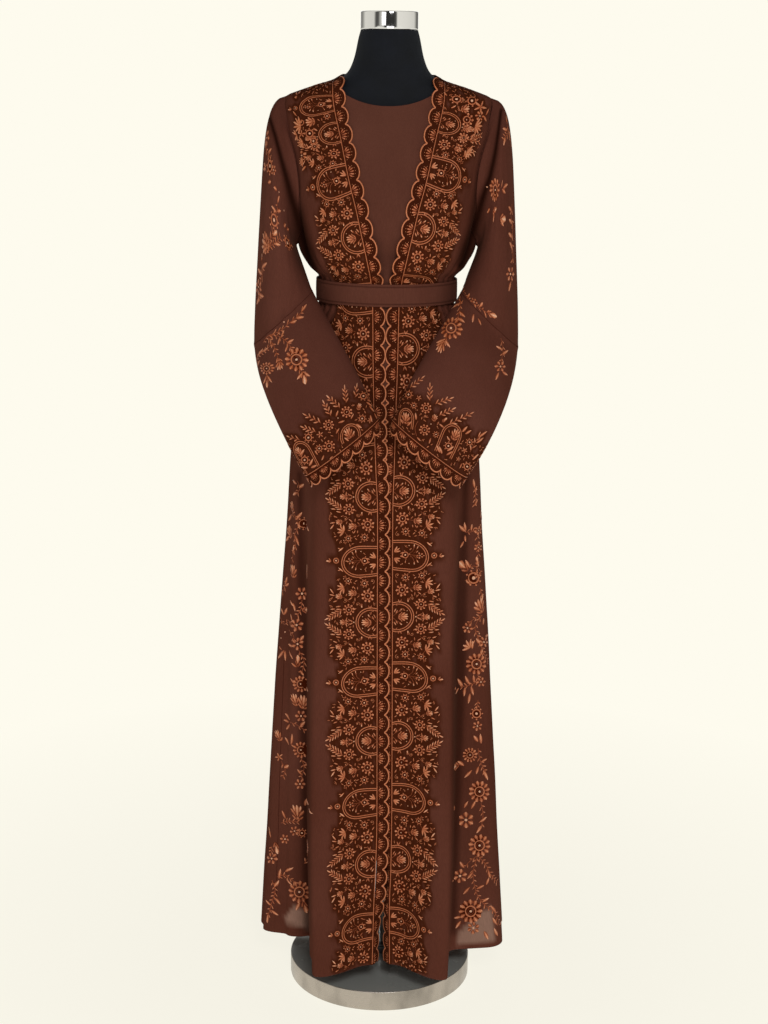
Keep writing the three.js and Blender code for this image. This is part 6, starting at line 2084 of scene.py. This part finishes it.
for side in (1, -1):
    paint_shade_near_stitches(fronts[side].piece, embroidery["front", side][:1])
    paint_shade_near_stitches(sleeves[side].pieces["lower"], embroidery["lower", side])

# ---------------------------------------------------------------- the cut of each cloth piece
def cloth_area(piece):
    """Half the surface of a closed shell, in square metres."""
    return sum(polygon.area for polygon in piece.data.polygons) / 2


BACK_LENGTH = 1520
SLEEVE_SLANT = 1.12  # a sleeve's length over that of its front line


def declare(piece, width, length):
    area = cloth_area(piece)


for side in (1, -1):
    name = side_name(side)
    front, sleeve = fronts[side], sleeves[side]
    spread = (front.s - front.s[:, :1]).max()
    declare(front.piece, spread, front.v[-1])
    border = borders[side]
    declare(border.piece, SCALLOP["notch"] + SCALLOP["depth"], border.t[-1])
    for key in ("upper", "lower"):
        *_, s, run = sleeve.grids[key]
        girth = (s[:, sleeve.margin + sleeve.columns] - s[:, sleeve.margin]).max()
        declare(sleeve.pieces[key], girth, np.ptp(run) * SLEEVE_SLANT)
    declare(sleeve.pieces["cuff"], sleeve.cuff_total,
            SCALLOP["notch"] + SCALLOP["depth"])
declare(back, back_width, BACK_LENGTH)
declare(insert, 2 * INSERT["half"], INSERT["side"] - INSERT["bottom"])
declare(belt, BELT_ROUND + BELT["overlap"], BELT["width"])

# ---------------------------------------------------------------- camera, light and stage
camera = bpy.data.cameras.new("camera")
camera.sensor_fit = "AUTO"
camera.sensor_width = 36
camera.lens = FOCAL / IMAGE_TALL * 36
camera.clip_end = 60
camera.shift_x = -IMAGE_SHIFT / IMAGE_TALL
view = bpy.data.objects.new("camera", camera)
view.matrix_world = (Matrix.Translation(CAMERA_AT) @ Matrix.Rotation(math.pi / 2 - CAMERA_PITCH, 4, "X")
                     @ Matrix.Rotation(CAMERA_ROLL, 4, "Z"))
bpy.context.scene.collection.objects.link(view)
bpy.context.scene.camera = view


def area_light(name, place, target, size, power, colour=(1, 1, 1)):
    data = bpy.data.lights.new(name, "AREA")
    data.shape = "RECTANGLE"
    data.size, data.size_y = size
    data.energy = power
    data.color = colour
    lamp = bpy.data.objects.new(name, data)
    lamp.location = place
    lamp.rotation_euler = (Vector(target) - Vector(place)).to_track_quat("-Z", "Y").to_euler()
    bpy.context.scene.collection.objects.link(lamp)


area_light("key", (0.5, -3.5, 2.9), (0, 0, 1.05), (0.9, 0.9), 58, (1, 0.99, 0.97))
area_light("fill", (-1.3, -3.2, 1.9), (0, 0, 1.0), (1.0, 1.4), 7, (1, 0.98, 0.96))
area_light("low", (0.2, -3.2, 0.7), (0, 0, 0.4), (1.6, 1.0), 9, (1, 0.98, 0.96))
area_light("behind", (0, 3.2, 2.4), (0, 0, 1.0), (2.4, 2.0), 14)

CREAM, AMBIENT = srgb(254, 251, 238), 0.13
# how bright the room is that polished metal reflects, by azimuth from behind the object, 0 to 1 round it
ROOM = ((0, 0.25), (0.13, 0.3), (0.19, 0.85), (0.32, 0.8), (0.345, 0.1), (0.375, 0.1), (0.4, 0.6),
    (0.43, 0.55), (0.445, 0.03),
        (0.55, 0.04), (0.575, 0.12), (0.59, 0.95), (0.7, 0.9), (0.82, 0.8), (0.88, 0.15), (1, 0.25))


def build_world():
    """A backdrop that is bright to look at, gives soft light and has dark walls in what metal reflects."""
    world = bpy.data.worlds.new("studio")
    bpy.context.scene.world = world
    world.use_nodes = True
    tree = world.node_tree
    backdrop = tree.nodes["Background"]
    backdrop.inputs["Color"].default_value = CREAM

    def add(kind, operation=None, **links):
        node = tree.nodes.new("ShaderNode" + kind)
        if operation:
            node.operation = operation
        for key, value in links.items():
            socket = node.inputs[int(key[1:])]
            if isinstance(value, bpy.types.NodeSocket):
                tree.links.new(value, socket)
            else:
                socket.default_value = value
        return node

    way = add("SeparateXYZ", _0=add("TexCoord").outputs["Generated"])
    turn = add("Math", "ARCTAN2", _0=way.outputs["X"],
        _1=add("Math", "MULTIPLY", _0=way.outputs["Y"], _1=-1.0).outputs[0])
    share = add("MapRange", _0=turn.outputs[0], _1=-math.pi, _2=math.pi)
    ramp = add("ValToRGB", _0=share.outputs[0])
    stops = ramp.color_ramp.elements
    for stop, (place, value) in zip(stops, (ROOM[0], ROOM[-1])):
        stop.position, stop.color = place, (value, value, value, 1)
    for place, value in ROOM[1:-1]:
        stops.new(place).color = (value, value, value, 1)
    paths = add("LightPath")
    room = add("Mix", _0=paths.outputs["Is Glossy Ray"], _2=AMBIENT, _3=ramp.outputs["Color"])
    strength = add("Mix", _0=paths.outputs["Is Camera Ray"], _2=room.outputs[0], _3=1.0)
    tree.links.new(strength.outputs[0], backdrop.inputs["Strength"])


build_world()

floor_mesh = bpy.data.meshes.new("floor")
floor_mesh.from_pydata([(-9, -9, -0.0005), (9, -9, -0.0005), (9, 9, -0.0005), (-9, 9, -0.0005)], [],
    [(0, 1, 2, 3)])
floor = bpy.data.objects.new("floor", floor_mesh)
bpy.context.scene.collection.objects.link(floor)
# the floor takes a faint shadow near the base and runs into the backdrop's colour further out
pale = Nodes("pale_floor", Roughness=1.0, Specular_IOR_Level=0.0)
away = pale.add("VectorMath", {0: pale.add("TexCoord").outputs["Object"]},
    operation="LENGTH").outputs["Value"]
near = pale.range(away, 0.35, 1.5, 1, 0)
pale.link(pale.blend(near, srgb(0, 0, 0), srgb(104, 102, 96)), "Base Color")
pale.shader.inputs["Emission Color"].default_value = CREAM
pale.link(pale.range(near, 0, 1, 1.0, 0.87), "Emission Strength")
floor.data.materials.append(pale.material)

scene = bpy.context.scene
scene.view_settings.view_transform = "Standard"
scene.view_settings.look = "None"
